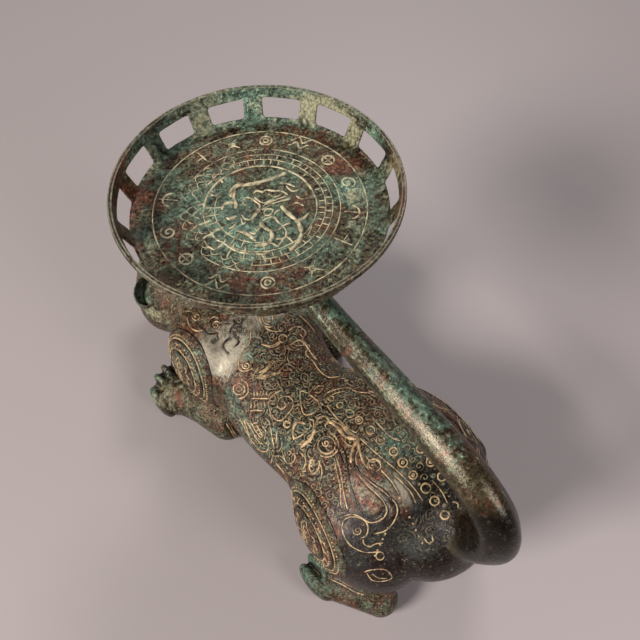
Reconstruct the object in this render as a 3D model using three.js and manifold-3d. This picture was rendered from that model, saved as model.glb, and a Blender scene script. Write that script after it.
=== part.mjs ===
// Crouching bronze beast whose tail bends up over its back and carries a round tray.
// Millimetres. The beast faces -Y, its left side is +X, and +Z is up.
import * as THREE from 'three';
import { mergeVertices } from 'three/addons/utils/BufferGeometryUtils.js';
import Module from 'manifold-3d';

const wasm = await Module();
wasm.setup();

// Gap between castings that seat on each other
const seatGap = 0.3;

// Tray
const trayHeight = 230;
const traySideShift = -16;
const floorRadius = 81;
const floorThickness = 3.6;
const rebateWidth = 4.7;
const rebateDepth = 1.8;
const ringWidth = 7.4;
const rimFlare = 11.6;
const lipRise = 23.6;
const lipBand = 9.5;
const lipRoll = 4.4;
const wallThickness = 2.3;
const windowCount = 14;
const postWidth = 14.2;
const windowCorner = 2.4;
const windowSill = 1.2;
const firstPostAngle = 41.6;
const traySegments = 42;

// Raised threads that divide the tray floor, as shares of its radius
const threadShares = [0.918, 0.689, 0.486];
const threadWidth = 1.4;
const threadRise = 0.5;

// Tail and its socket under the tray
const tailTipRadius = 10;
const socketHeight = 10;
const socketWall = 5;
const socketFlare = 9;

// Raised shields on the shoulders and haunches
const shieldSteps = [
  { size: 1, rise: 1.6 },
  { size: 0.72, rise: 2.8 },
  { size: 0.42, rise: 4 },
];
const shoulderShield = { along: 33, across: 37, ahead: -3, facing: [0.86, -0.16, 0.42] };
const haunchShield = { along: 41, across: 33, ahead: 8, facing: [0.9, -0.2, 0.33] };

// Trunk from the neck tenon to the rump: centre points and half sizes across and up
const trunkPoints = [
  { at: [3, -58, 84], half: [36, 32] },
  { at: [4, -20, 77], half: [57, 44] },
  { at: [14, 28, 73], half: [52, 43] },
  { at: [19, 75, 71], half: [49, 39] },
  { at: [9, 120, 76], half: [58, 46] },
  { at: [0, 165, 81], half: [65, 54] },
  { at: [3, 196, 80], half: [60, 50] },
  { at: [4, 215, 80], half: [45, 38] },
];

// Head from the nape to the muzzle
const headPoints = [
  { at: [3, -44, 84], half: [44, 34] },
  { at: [2, -74, 83], half: [60, 43] },
  { at: [0, -101, 85], half: [55, 41] },
  { at: [0, -124, 79], half: [40, 34] },
  { at: [0, -138, 75], half: [33, 27] },
];

// Tail from inside the rump to the socket: place in plan, share of the climb to the tray, half sizes
const tailRootHeight = 92;
const tailPoints = [
  { at: [0, 194], climb: 0.02, half: [28, 28] },
  { at: [0, 221], climb: 0.06, half: [24, 22] },
  { at: [0, 244], climb: 0.165, half: [19.5, 18.5] },
  { at: [0, 254], climb: 0.33, half: [16.5, 16.5] },
  { at: [-1, 248], climb: 0.49, half: [15, 15] },
  { at: [-2, 221], climb: 0.63, half: [14, 14] },
  { at: [-5, 155], climb: 0.688, half: [12.4, 12.4] },
  { at: [-10, 85], climb: 0.696, half: [11.2, 11.2] },
  { at: [-15, 32], climb: 0.732, half: [10.4, 10.4] },
  { at: [traySideShift, 3], climb: 0.855, half: [tailTipRadius, tailTipRadius] },
  { at: [traySideShift, 0], climb: 1, half: [tailTipRadius, tailTipRadius] },
];

// Left forearm from elbow to paw, and left hind foot from heel to toes
const forearmPoints = [
  { at: [60, 20, 19.6], half: [18, 20] },
  { at: [67, -8, 17.5], half: [17.5, 19] },
  { at: [74, -28, 15], half: [18.5, 17] },
  { at: [78, -40, 12.8], half: [20, 14.5] },
];
const hindFootPoints = [
  { at: [60, 220, 13.6], half: [14, 15] },
  { at: [68, 200, 14], half: [17, 16] },
  { at: [75, 184, 12.6], half: [19, 14.5] },
];
const shankPoints = [
  { at: [47, 128, 34], half: [18, 24] },
  { at: [52, 168, 26], half: [19, 22] },
  { at: [56, 212, 22], half: [15, 18] },
];
const shoulderBulge = { at: [48, -12, 70], radii: [26, 43, 46] };
const haunchBulge = { at: [46, 173, 64], radii: [37, 57, 51] };
const rightHaunchTuck = 13;
const toeCount = 4;
const toeRadii = [6.6, 13, 9.4];
const toeSpread = 9;
const toeFan = 0.13;
const toeReach = 14;

// Head details, given on the left side
const earAt = [52, -80, 106];
const earRadii = [17, 12, 20];
const earHollow = { shift: [5, -9, 3], radii: [13.5, 11, 16] };
const eyeAt = [27, -127, 98];
const eyeRadius = 9;
const browAt = [26, -119, 109];
const browRadii = [15, 9, 6];
const whiskerPadAt = [15, -149, 78];
const whiskerPadRadii = [16, 16, 13];
const noseAt = [0, -162, 89];
const noseRadii = [10, 8, 7];
const mouthAt = [0, -160, 63];
const mouthRadii = [36, 30, 5];

// Facets round each form
const trunkSides = 28;
const limbSides = 12;
const tailSides = 14;
const bulgeSides = 18;
const smallSides = 8;

const bronze = {
  green: 0x4f6a58,
  dark: 0x33372c,
  rust: 0x6b3a2c,
  worn: 0x857568,
};

function bronzeMaterial(colour, roughness) {
  return new THREE.MeshStandardMaterial({ color: colour, roughness, metalness: 0.75 });
}

// Solid from a closed geometry, with its faces turned outward
function solidFrom(geometry) {
  const bare = geometry.clone();
  for (const name of Object.keys(bare.attributes)) {
    if (name !== 'position') bare.deleteAttribute(name);
  }
  const merged = mergeVertices(bare, 1e-4);
  const vertProperties = new Float32Array(merged.attributes.position.array);
  const triVerts = new Uint32Array(merged.index.array);
  if (signedVolume(vertProperties, triVerts) < 0) {
    triVerts.reverse();
  }
  return new wasm.Manifold(new wasm.Mesh({ numProp: 3, vertProperties, triVerts }));
}

function signedVolume(points, triangles) {
  const corner = (i) => new THREE.Vector3().fromArray(points, 3 * triangles[i]);
  let sum = 0;
  for (let i = 0; i < triangles.length; i += 3) {
    sum += corner(i).dot(corner(i + 1).cross(corner(i + 2)));
  }
  return sum / 6;
}

function geometryFrom(solid) {
  const mesh = solid.getMesh();
  const geometry = new THREE.BufferGeometry();
  const points = new Float32Array(mesh.numVert * 3);
  for (let i = 0; i < mesh.numVert; i += 1) {
    points.set(mesh.vertProperties.subarray(i * mesh.numProp, i * mesh.numProp + 3), i * 3);
  }
  geometry.setAttribute('position', new THREE.BufferAttribute(points, 3));
  geometry.setIndex(new THREE.BufferAttribute(new Uint32Array(mesh.triVerts), 1));
  return geometry;
}

const join = (solids) => solids.reduce((whole, next) => whole.add(next));

// The one body of a cut that holds the most metal
function mainBody(solid) {
  const bodies = solid.decompose();
  return bodies.reduce((best, next) => (next.volume() > best.volume() ? next : best));
}

function mirrored(at, side) {
  return [at[0] * side, at[1], at[2]];
}

function mirroredPoints(points, side) {
  return points.map((point) => ({ at: mirrored(point.at, side), half: point.half }));
}

// One ring of a section: halfWidth along the side axis and halfHeight along the up axis
function sectionRing(frame, half, sides, fullness, crest) {
  const ring = [];
  for (let i = 0; i < sides; i += 1) {
    const angle = (2 * Math.PI * i) / sides;
    const swell = 1 + crest * Math.cos(4 * (angle - Math.PI / 2));
    const across = Math.sign(Math.cos(angle)) * Math.abs(Math.cos(angle)) ** fullness;
    const upward = Math.sign(Math.sin(angle)) * Math.abs(Math.sin(angle)) ** fullness;
    ring.push(frame.centre.clone()
      .addScaledVector(frame.side, half.x * swell * across)
      .addScaledVector(frame.up, half.y * swell * upward));
  }
  return ring;
}

// Closed skin over rings of equal count, with a point closing each end
function skin(rings, startPoint, endPoint) {
  const sides = rings[0].length;
  const corners = [startPoint, ...rings.flat(), endPoint];
  const last = corners.length - 1;
  const index = [];
  const at = (ring, i) => 1 + ring * sides + (i % sides);
  for (let i = 0; i < sides; i += 1) {
    index.push(0, at(0, i + 1), at(0, i));
    index.push(last, at(rings.length - 1, i), at(rings.length - 1, i + 1));
    for (let ring = 0; ring < rings.length - 1; ring += 1) {
      index.push(at(ring, i), at(ring, i + 1), at(ring + 1, i));
      index.push(at(ring, i + 1), at(ring + 1, i + 1), at(ring + 1, i));
    }
  }
  const geometry = new THREE.BufferGeometry().setFromPoints(corners);
  geometry.setIndex(index);
  return geometry;
}

// Organic form along a smooth path: its half sizes run smoothly from point to point,
// and each end is either round or flat
function organicForm(points, options) {
  const { steps, sides, fullness = 1, crest = 0, grow = 0, roundStart = true, roundEnd = true } = options;
  const path = new THREE.CatmullRomCurve3(points.map((point) => new THREE.Vector3(...point.at)));
  const sizes = new THREE.CatmullRomCurve3(points.map((point) => new THREE.Vector3(...point.half, 0)));
  const frameAt = (t) => {
    const along = path.getTangent(t);
    const side = new THREE.Vector3(1, 0, 0);
    side.addScaledVector(along, -side.dot(along)).normalize();
    return { centre: path.getPoint(t), along, side, up: new THREE.Vector3().crossVectors(along, side) };
  };
  const halfAt = (t) => sizes.getPoint(t).addScalar(grow);
  const capAngles = [65, 35].map(THREE.MathUtils.degToRad);
  const capRing = (t, outward, angle) => {
    const frame = frameAt(t);
    const half = halfAt(t);
    const reach = Math.min(half.x, half.y) * Math.sin(angle) * outward;
    frame.centre.addScaledVector(frame.along, reach);
    return sectionRing(frame, half.multiplyScalar(Math.cos(angle)), sides, fullness, crest);
  };
  const endPoint = (t, outward, round) => {
    const half = halfAt(t);
    const reach = round ? Math.min(half.x, half.y) : 0;
    const frame = frameAt(t);
    return frame.centre.addScaledVector(frame.along, reach * outward);
  };
  const rings = [];
  if (roundStart) rings.push(...capAngles.map((angle) => capRing(0, -1, angle)));
  for (let i = 0; i <= steps; i += 1) {
    rings.push(sectionRing(frameAt(i / steps), halfAt(i / steps), sides, fullness, crest));
  }
  if (roundEnd) rings.push(...capAngles.toReversed().map((angle) => capRing(1, 1, angle)));
  return solidFrom(skin(rings, endPoint(0, -1, roundStart), endPoint(1, 1, roundEnd)));
}

function ellipsoid(at, radii, sides, grow = 0) {
  const geometry = new THREE.SphereGeometry(1, sides, Math.round(sides * 0.6));
  geometry.rotateX(Math.PI / 2);
  geometry.scale(...radii.map((radius) => radius + grow));
  geometry.translate(...at);
  return solidFrom(geometry);
}

// Everything above a level, as a block to cut with
function above(level) {
  const reach = 2000;
  const block = new THREE.BoxGeometry(reach, reach, reach);
  block.translate(0, 0, level + reach / 2);
  return solidFrom(block);
}

// The beast crouches with its right haunch closer in than its left
const haunchTuck = (side) => (side < 0 ? rightHaunchTuck : 0);
const bulgeOnSide = (bulge, side, tuck = 0) => {
  const [x, y, z] = mirrored(bulge.at, side);
  return { at: [x + tuck, y, z], radii: bulge.radii };
};
const shoulderOn = (side) => bulgeOnSide(shoulderBulge, side);
const haunchOn = (side) => bulgeOnSide(haunchBulge, side, haunchTuck(side));
const bulgeForm = (bulge, grow) => ellipsoid(bulge.at, bulge.radii, bulgeSides, grow);
const trunkForm = (grow) => organicForm(trunkPoints, { steps: 22, sides: trunkSides, fullness: 0.92, grow });
const headForm = (grow) => organicForm(headPoints, { steps: 9, sides: 20, fullness: 0.92, grow });
const roomForTrunk = trunkForm(seatGap);
const aboveGround = above(0);

function makeTrunk() {
  return trunkForm(0);
}

function makeHead() {
  const parts = [headForm(0), ellipsoid(noseAt, noseRadii, smallSides)];
  for (const side of [1, -1]) {
    parts.push(ellipsoid(mirrored(eyeAt, side), [eyeRadius, eyeRadius, eyeRadius], smallSides));
    parts.push(ellipsoid(mirrored(browAt, side), browRadii, smallSides));
    parts.push(ellipsoid(mirrored(whiskerPadAt, side), whiskerPadRadii, smallSides));
  }
  const mouth = ellipsoid(mouthAt, mouthRadii, bulgeSides);
  const roomForShoulders = join([1, -1].map((side) => bulgeForm(shoulderOn(side), seatGap)));
  return mainBody(join(parts).subtract(mouth).subtract(roomForTrunk).subtract(roomForShoulders));
}

// Cupped ear: a rounded lobe hollowed from the front and seated on the head
function makeEar(side) {
  const hollowAt = earAt.map((value, axis) => value + earHollow.shift[axis]);
  const lobe = ellipsoid(mirrored(earAt, side), earRadii, 12);
  const hollow = ellipsoid(mirrored(hollowAt, side), earHollow.radii, 12);
  return mainBody(lobe.subtract(hollow).subtract(headForm(seatGap)).subtract(roomForTrunk));
}

// Toes in a fan at the front of a paw that points along -Y and slightly outward
function makeToes(pawPoint, side) {
  const toes = [];
  for (let i = 0; i < toeCount; i += 1) {
    const offset = i - (toeCount - 1) / 2;
    const turn = offset * toeFan;
    const at = [
      pawPoint.at[0] + offset * toeSpread + turn * toeReach,
      pawPoint.at[1] - toeReach + Math.abs(offset) * 2,
      toeRadii[2] - 0.8,
    ];
    toes.push(ellipsoid(mirrored(at, side), toeRadii, smallSides));
  }
  return join(toes);
}

function makeForeleg(side) {
  const forearm = organicForm(mirroredPoints(forearmPoints, side), { steps: 8, sides: limbSides });
  const leg = join([forearm, bulgeForm(shoulderOn(side), 0), makeToes(forearmPoints.at(-1), side)]);
  return mainBody(leg.subtract(roomForTrunk).intersect(aboveGround));
}

function makeHindLeg(side) {
  const foot = organicForm(mirroredPoints(hindFootPoints, side), { steps: 6, sides: limbSides });
  const tucked = mirroredPoints(shankPoints, side).map(({ at: [x, y, z], half }) => (
    { at: [x + haunchTuck(side), y, z], half }
  ));
  const shank = organicForm(tucked, { steps: 6, sides: limbSides });
  const haunch = bulgeForm(haunchOn(side), 0);
  const leg = join([foot, shank, haunch, makeToes(hindFootPoints.at(-1), side)]);
  return mainBody(leg.subtract(roomForTrunk).intersect(aboveGround));
}

// Oval column through a bulge, facing the given way and set ahead towards the beast's head
function ovalColumn(bulge, shield, size, side) {
  const depth = 60;
  const column = new THREE.CylinderGeometry(1, 1, depth, 24);
  column.translate(0, depth / 2, 0);
  column.scale(shield.along * size, 1, shield.across * size);
  const facing = new THREE.Vector3(...mirrored(shield.facing, side)).normalize();
  const upright = new THREE.Vector3(0, 0, 1).addScaledVector(facing, -facing.z).normalize();
  const along = new THREE.Vector3().crossVectors(facing, upright);
  const turn = new THREE.Matrix4().makeBasis(along, facing, upright);
  column.applyMatrix4(turn);
  column.translate(...bulge.at);
  column.translate(...along.multiplyScalar(shield.ahead * side));
  return solidFrom(column);
}

// Raised shield of stepped ovals that follows the curve of the bulge under it
function makeShield(bulge, shield, side) {
  const layers = shieldSteps.map((step) => (
    bulgeForm(bulge, step.rise + seatGap).intersect(ovalColumn(bulge, shield, step.size, side))
  ));
  const seat = bulgeForm(bulge, seatGap);
  return mainBody(join(layers).subtract(seat).subtract(roomForTrunk));
}

// Tail that runs on into the tray floor, where its tip is cut level
function tailForm(grow) {
  const points = tailPoints.map(({ at, climb, half }) => (
    { at: [...at, THREE.MathUtils.lerp(tailRootHeight, trayHeight, climb)], half }
  ));
  return organicForm(points, { steps: 34, sides: tailSides, crest: 0.035, grow, roundEnd: false });
}

function makeTail() {
  const tipLevel = trayHeight - floorThickness - seatGap;
  return mainBody(tailForm(0).subtract(roomForTrunk).subtract(above(tipLevel)));
}

// Flared collar under the tray's centre, bored to the tip of the tail that it holds
function makeTailSocket() {
  const top = -floorThickness - seatGap;
  const radius = tailTipRadius + socketWall;
  const collar = turned([
    [0, top - socketHeight],
    [radius - socketWall * 0.4, top - socketHeight],
    [radius, top - socketHeight * 0.6],
    [radius + socketFlare * 0.4, top - socketHeight * 0.25],
    [radius + socketFlare, top],
    [0, top],
  ], 28);
  return mainBody(collar.subtract(tailForm(seatGap)));
}

// Ring or disc turned about the tray's upright axis, in the tray's own heights
function turned(outline, segments) {
  const profile = outline.map(([radius, height]) => new THREE.Vector2(radius, height));
  const geometry = new THREE.LatheGeometry(profile, segments);
  geometry.rotateX(Math.PI / 2);
  geometry.translate(traySideShift, 0, trayHeight);
  return solidFrom(geometry);
}

// Flat disc with a stepped edge that rests in the rebate of the rim
function makeTrayFloor() {
  const innerRadius = floorRadius - rebateWidth;
  const threads = threadShares.flatMap((share) => {
    const radius = floorRadius * share;
    return [
      [radius + threadWidth / 2, 0],
      [radius + threadWidth / 4, threadRise],
      [radius - threadWidth / 4, threadRise],
      [radius - threadWidth / 2, 0],
    ];
  });
  return turned([
    [0, -floorThickness],
    [innerRadius, -floorThickness],
    [innerRadius, -rebateDepth],
    [floorRadius, -rebateDepth],
    [floorRadius, 0],
    ...threads,
    [0, 0],
  ], traySegments);
}

// Slope of the flared wall, from its foot on the flat ring to its lip
const wallFoot = floorRadius + ringWidth;
const lipRadius = wallFoot + rimFlare;
const wallRun = rimFlare - lipRoll * 0.4;
const wallLean = Math.atan2(lipRise, wallRun);
const windowHeight = Math.hypot(lipRise, wallRun) - lipBand - windowSill;

// Rounded opening that leaves posts of even width, so its sides part towards the lip
function windowShape() {
  const halfPitch = Math.PI / windowCount;
  const headRadius = wallFoot + (windowSill + windowHeight) * Math.cos(wallLean);
  const foot = wallFoot * Math.tan(halfPitch) - postWidth / 2;
  const head = headRadius * Math.tan(halfPitch) - postWidth / 2;
  const shape = new THREE.Shape();
  shape.moveTo(-foot + windowCorner, 0);
  shape.lineTo(foot - windowCorner, 0);
  shape.quadraticCurveTo(foot, 0, foot, windowCorner);
  shape.lineTo(head, windowHeight - windowCorner);
  shape.quadraticCurveTo(head, windowHeight, head - windowCorner, windowHeight);
  shape.lineTo(-head + windowCorner, windowHeight);
  shape.quadraticCurveTo(-head, windowHeight, -head, windowHeight - windowCorner);
  shape.lineTo(-foot, windowCorner);
  shape.quadraticCurveTo(-foot, 0, -foot + windowCorner, 0);
  return shape;
}

// Cutter for the window at one angle, square to the sloping wall
function windowCutter(angle) {
  const depth = 16;
  const cutter = new THREE.ExtrudeGeometry(windowShape(), { depth, bevelEnabled: false, curveSegments: 1 });
  cutter.translate(0, windowSill, -depth / 2);
  cutter.rotateX(wallLean);
  cutter.translate(0, wallFoot, 0);
  cutter.rotateZ(angle);
  cutter.translate(traySideShift, 0, trayHeight);
  return solidFrom(cutter);
}

// Openwork rim: rebated ring, flared wall pierced by windows, and a broad lip band
function makeTrayRim() {
  const seam = floorRadius + seatGap;
  const rebate = floorRadius - rebateWidth + seatGap;
  const skinOut = wallThickness / Math.sin(wallLean);
  const bandFoot = 1 - lipBand / Math.hypot(lipRise, wallRun);
  const inner = (share) => [wallFoot + wallRun * share, lipRise * share];
  const outer = (share) => [inner(share)[0] + skinOut, inner(share)[1]];
  const outline = [
    [rebate, -floorThickness],
    [wallFoot - ringWidth * 0.4, -floorThickness],
    [wallFoot + skinOut * 0.2, -floorThickness * 0.4],
    outer(0.1),
    outer(bandFoot),
    [lipRadius - 0.4, lipRise - lipRoll],
    [lipRadius, lipRise - lipRoll * 0.4],
    [lipRadius - lipRoll * 0.25, lipRise],
    [inner(1)[0] - lipRoll * 0.4, lipRise - 0.5],
    inner(bandFoot),
    inner(0.04),
    [wallFoot - 1.5, 0],
    [seam, 0],
    [seam, -rebateDepth - seatGap],
    [rebate, -rebateDepth - seatGap],
    [rebate, -floorThickness],
  ];
  const pitch = (2 * Math.PI) / windowCount;
  const start = THREE.MathUtils.degToRad(firstPostAngle) + pitch / 2;
  const cutters = Array.from({ length: windowCount }, (_, i) => windowCutter(start + i * pitch));
  return turned(outline, traySegments).subtract(join(cutters));
}

const model = new THREE.Group();

function addPiece(name, solid, colour, roughness) {
  const mesh = new THREE.Mesh(geometryFrom(solid), bronzeMaterial(colour, roughness));
  mesh.name = name;
  model.add(mesh);
}

addPiece('trunk', makeTrunk(), bronze.dark, 0.5);
addPiece('head', makeHead(), bronze.green, 0.55);
for (const [word, side] of [['left', 1], ['right', -1]]) {
  addPiece(`ear_${word}`, makeEar(side), bronze.green, 0.6);
  addPiece(`foreleg_${word}`, makeForeleg(side), bronze.green, 0.55);
  addPiece(`hind_leg_${word}`, makeHindLeg(side), bronze.worn, 0.45);
  addPiece(`shoulder_shield_${word}`, makeShield(shoulderOn(side), shoulderShield, side), bronze.rust, 0.5);
  addPiece(`haunch_shield_${word}`, makeShield(haunchOn(side), haunchShield, side), bronze.rust, 0.5);
}
addPiece('tail', makeTail(), bronze.worn, 0.4);
addPiece('tail_socket', makeTailSocket(), bronze.dark, 0.6);
addPiece('tray_floor', makeTrayFloor(), bronze.rust, 0.5);
addPiece('tray_rim', makeTrayRim(), bronze.green, 0.5);

// The origin is on the ground under the middle of the object
const extent = new THREE.Box3().setFromObject(model);
const middle = extent.getCenter(new THREE.Vector3());
model.position.set(-middle.x, -middle.y, -extent.min.z);

export default model;
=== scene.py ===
# Bronze beast tray: a crouching cast beast that carries a round openwork tray on the tip of its tail.
import math
import bpy
import bmesh
import numpy as np
from mathutils import Matrix, Vector
from mathutils.bvhtree import BVHTree
from mathutils.kdtree import KDTree


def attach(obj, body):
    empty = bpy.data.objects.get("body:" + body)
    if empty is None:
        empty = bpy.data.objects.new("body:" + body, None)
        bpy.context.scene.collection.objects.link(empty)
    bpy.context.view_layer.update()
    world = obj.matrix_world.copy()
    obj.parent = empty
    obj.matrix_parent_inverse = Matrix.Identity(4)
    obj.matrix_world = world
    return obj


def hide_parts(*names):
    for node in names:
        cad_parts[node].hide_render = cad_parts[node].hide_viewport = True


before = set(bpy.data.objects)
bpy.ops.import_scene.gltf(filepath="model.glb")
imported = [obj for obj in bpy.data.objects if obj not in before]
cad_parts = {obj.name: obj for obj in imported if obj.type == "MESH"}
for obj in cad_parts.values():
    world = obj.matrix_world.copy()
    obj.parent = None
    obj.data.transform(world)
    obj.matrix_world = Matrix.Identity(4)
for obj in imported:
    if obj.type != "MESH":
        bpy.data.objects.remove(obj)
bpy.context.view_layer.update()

# Photographer's camera: a phone held about half a metre above the tray, behind the beast's left haunch.
# It was found from the circles of the tray, in pixels of the square picture.
picture_width = 640
focal_pixels = 700
camera_at = Vector((0.16930, 0.22724, 0.59751))
camera_right = Vector((-0.75748, 0.65271, -0.01385))
camera_up = Vector((-0.55690, -0.63493, 0.53547))
camera_forward = Vector((-0.34071, -0.41332, -0.84444))


def add_object(name, data, matrix=None):
    """Object that holds the data, linked into the scene."""
    added = bpy.data.objects.new(name, data)
    if matrix is not None:
        added.matrix_world = matrix
    bpy.context.scene.collection.objects.link(added)
    return added


camera_data = bpy.data.cameras.new("photo_camera")
camera_data.sensor_width = 36
camera_data.sensor_fit = "HORIZONTAL"
camera_data.lens = focal_pixels / picture_width * camera_data.sensor_width
camera_data.clip_start = 0.01
axes = zip(camera_right, camera_up, -camera_forward, camera_at)
bpy.context.scene.camera = add_object("photo_camera", camera_data, Matrix((*axes, (0, 0, 0, 1))))


# Photo studio: a matt grey floor, a large soft lamp like a window on the beast's left, a smaller one high in
# front on its right, and a weak one low behind it. The floor is not part of the object.
def socket_linear(hex_colour):
    """Colour of a hexadecimal code, as the linear numbers that a shader socket takes."""
    channels = [int(hex_colour[i:i + 2], 16) / 255 for i in (1, 3, 5)]
    return [c / 12.92 if c <= 0.04045 else ((c + 0.055) / 1.055) ** 2.4 for c in channels] + [1]


def soft_lamp(name, place, aim, size, watts, colour):
    """Rectangular lamp at the place, turned towards its aim."""
    lamp_data = bpy.data.lights.new(name, "AREA")
    lamp_data.shape = "RECTANGLE"
    lamp_data.size, lamp_data.size_y = size
    lamp_data.energy = watts
    lamp_data.color = colour
    turned = (Vector(aim) - Vector(place)).to_track_quat("-Z", "Y").to_matrix().to_4x4()
    add_object(name, lamp_data, Matrix.Translation(place) @ turned)


soft_lamp("side_window", (2.2, -0.24, 1.55), (0, 0, 0.1), (0.8, 0.65), 82, (1.0, 0.985, 0.96))
soft_lamp("high_lamp", (-1.15, -0.9, 1.56), (0, 0, 0.05), (0.55, 0.45), 14, (0.98, 0.985, 1.0))
soft_lamp("rear_lamp", (-0.15, 0.88, 0.62), (-0.05, 0.15, 0), (0.35, 0.25), 3.7, (0.96, 0.95, 1.0))

world = bpy.data.worlds.new("studio_air")
world.use_nodes = True
air = world.node_tree.nodes["Background"].inputs
air["Color"].default_value = (0.92, 0.9, 0.94, 1)
air["Strength"].default_value = 0.055
bpy.context.scene.world = world
bpy.context.scene.view_settings.view_transform = "Standard"

floor_mesh = bpy.data.meshes.new("studio_floor")
floor_reach = 4.0
floor_corners = [(x * floor_reach, y * floor_reach, 0) for x, y in ((-1, -1), (1, -1), (1, 1), (-1, 1))]
floor_mesh.from_pydata(floor_corners, [], [(0, 1, 2, 3)])
floor = add_object("studio_floor", floor_mesh)
floor_paint = bpy.data.materials.new("studio_floor_paint")
floor_paint.use_nodes = True
floor_shader = floor_paint.node_tree.nodes["Principled BSDF"]
floor_shader.inputs["Base Color"].default_value = socket_linear("#aea2a0")
floor_shader.inputs["Roughness"].default_value = 0.55
floor_mesh.materials.append(floor_paint)


# Cast body: chest, back, rump, head, legs and paws in one hollow bronze casting, poured round a clay core.
# The sections were brazed while hot and filed over, so the forms run into one another without a seam.
# Sizes are millimetres in the beast's own frame, with its middle plane at X = 0 and its head towards -Y.
mm = 0.001
beast_origin = np.array((7.61, -50.34, 0.0))
trunk_line = [
    (3, -58, 84, 36, 32), (4, -20, 77, 57, 44), (14, 28, 73, 52, 43), (19, 75, 71, 49, 39),
    (9, 120, 76, 58, 46), (0, 165, 81, 65, 54), (3, 196, 80, 60, 50), (4, 215, 80, 45, 38),
]
head_line = [
    (3, -44, 84, 44, 34), (2, -74, 83, 65, 44), (0, -101, 84, 58, 41),
    (0, -124, 79, 40, 34), (0, -138, 75, 33, 27),
]
forearm_line = [(60, 20, 19.6, 18, 20), (67, -8, 17.5, 17.5, 19), (74, -28, 15, 18.5, 17),
                (78, -40, 12.8, 20, 14.5)]
hind_foot_line = [(60, 220, 13.6, 14, 15), (68, 200, 14, 17, 16), (75, 184, 12.6, 19, 14.5)]
shank_line = [(47, 128, 34, 18, 24), (52, 168, 26, 19, 22), (56, 212, 22, 15, 18)]
shoulder_at, shoulder_radii = (48, -12, 70), (26, 43, 46)
haunch_at, haunch_radii = (46, 173, 64), (37, 57, 51)
right_haunch_tuck = 13
toe_reach, toe_height = 18.5, 13.4
toe_rows = ((15.6, 6.8, 13), (5.0, 7.6, 4), (-5.0, 7.4, 0), (-14.6, 7.0, 2))
toe_gaps = (9.8, 0.0, -10.0)
tail_root_line = [(0, 190, 95, 29, 27), (0, 214, 98.5, 26, 24), (0, 236, 108, 20, 19), (0, 247, 122, 13, 13)]
face_forms = (("eye_socket_form", (27, -127, 98), (10, 8, 9)), ("brow_form", (26, -119, 109), (15, 9, 6)),
              ("whisker_pad_form", (15, -149, 78), (16, 16, 13)))
core_voxel, core_rubs, skin_voxel, skin_rubs = 0.0026, 26, 0.0018, 5
core_growth = 1.0


def in_frame(points):
    """Millimetres in the beast's own frame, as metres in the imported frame."""
    return (np.asarray(points, float) + beast_origin) * mm


def in_beast(points):
    """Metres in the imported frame, as millimetres in the beast's own frame."""
    return np.asarray(points, float) * 1000 - beast_origin


def smooth_path(points, count):
    """Centripetal curve through the points, sampled evenly by segment, in any number of dimensions."""
    p = np.asarray(points, float)
    p = np.vstack([2 * p[0] - p[1], p, 2 * p[-1] - p[-2]])
    last = len(p) - 3
    samples = []
    for share in np.linspace(0, last, count):
        k = min(int(share), last - 1)
        t = share - k
        a, b, c, d = p[k:k + 4]
        gaps = [max(np.linalg.norm(v - u), 1e-9) ** 0.5 for u, v in ((a, b), (b, c), (c, d))]
        leave = ((b - a) / gaps[0] - (c - a) / (gaps[0] + gaps[1]) + (c - b) / gaps[1]) * gaps[1]
        reach = ((c - b) / gaps[1] - (d - b) / (gaps[1] + gaps[2]) + (d - c) / gaps[2]) * gaps[1]
        samples.append(b + leave * t + (3 * (c - b) - 2 * leave - reach) * t ** 2
                       + (2 * (b - c) + leave + reach) * t ** 3)
    return np.array(samples)


def mesh_piece(name, vertices, faces):
    """Object with a mesh of the vertices and faces."""
    mesh = bpy.data.meshes.new(name)
    mesh.from_pydata([tuple(v) for v in vertices], [], [tuple(f) for f in faces])
    return add_object(name, mesh)


def mesh_of(name, shell):
    """Mesh made from an edit mesh, which is freed."""
    mesh = bpy.data.meshes.new(name)
    shell.to_mesh(mesh)
    shell.free()
    return mesh


def swept_form(name, line, steps=60, sides=48, crest=0.0, grow=0.0, flat_end=False):
    """Closed form round a smooth path: each point of the line holds a centre, half width and half height."""
    fullness = 0.95
    centres = smooth_path([row[:3] for row in line], steps)
    halves = smooth_path([row[3:] for row in line], steps) + grow
    along = np.gradient(centres, axis=0)
    along /= np.linalg.norm(along, axis=1)[:, None]
    cap_angles = np.radians([80, 65, 48, 30, 14])
    turns = np.linspace(0, 2 * np.pi, sides, endpoint=False)
    swell = 1 + crest * np.cos(4 * (turns - np.pi / 2))
    across, upward = (np.sign(part) * np.abs(part) ** fullness * swell
                      for part in (np.cos(turns), np.sin(turns)))

    def ring(k, slide=0.0, shrink=1.0):
        side = np.array((1.0, 0, 0)) - along[k][0] * along[k]
        side /= np.linalg.norm(side)
        rise = np.cross(along[k], side)
        wide, tall = halves[k]
        return (centres[k] + along[k] * slide + np.outer(across, side) * wide * shrink
                + np.outer(upward, rise) * tall * shrink)

    start_reach, end_reach = min(halves[0]), 0 if flat_end else min(halves[-1])
    rings = [ring(0, -start_reach * math.sin(a), math.cos(a)) for a in cap_angles]
    rings += [ring(k) for k in range(steps)]
    if not flat_end:
        rings += [ring(steps - 1, end_reach * math.sin(a), math.cos(a)) for a in cap_angles[::-1]]
    ends = [centres[0] - along[0] * start_reach, centres[-1] + along[-1] * end_reach]
    vertices = np.vstack(rings + [ends])
    first, last, final_ring = len(vertices) - 2, len(vertices) - 1, (len(rings) - 1) * sides
    faces = []
    for i in range(sides):
        j = (i + 1) % sides
        faces += [(first, j, i), (last, final_ring + i, final_ring + j)]
        faces += [(k + i, k + j, k + sides + j, k + sides + i) for k in range(0, final_ring, sides)]
    return mesh_piece(name, in_frame(vertices), faces)


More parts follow.
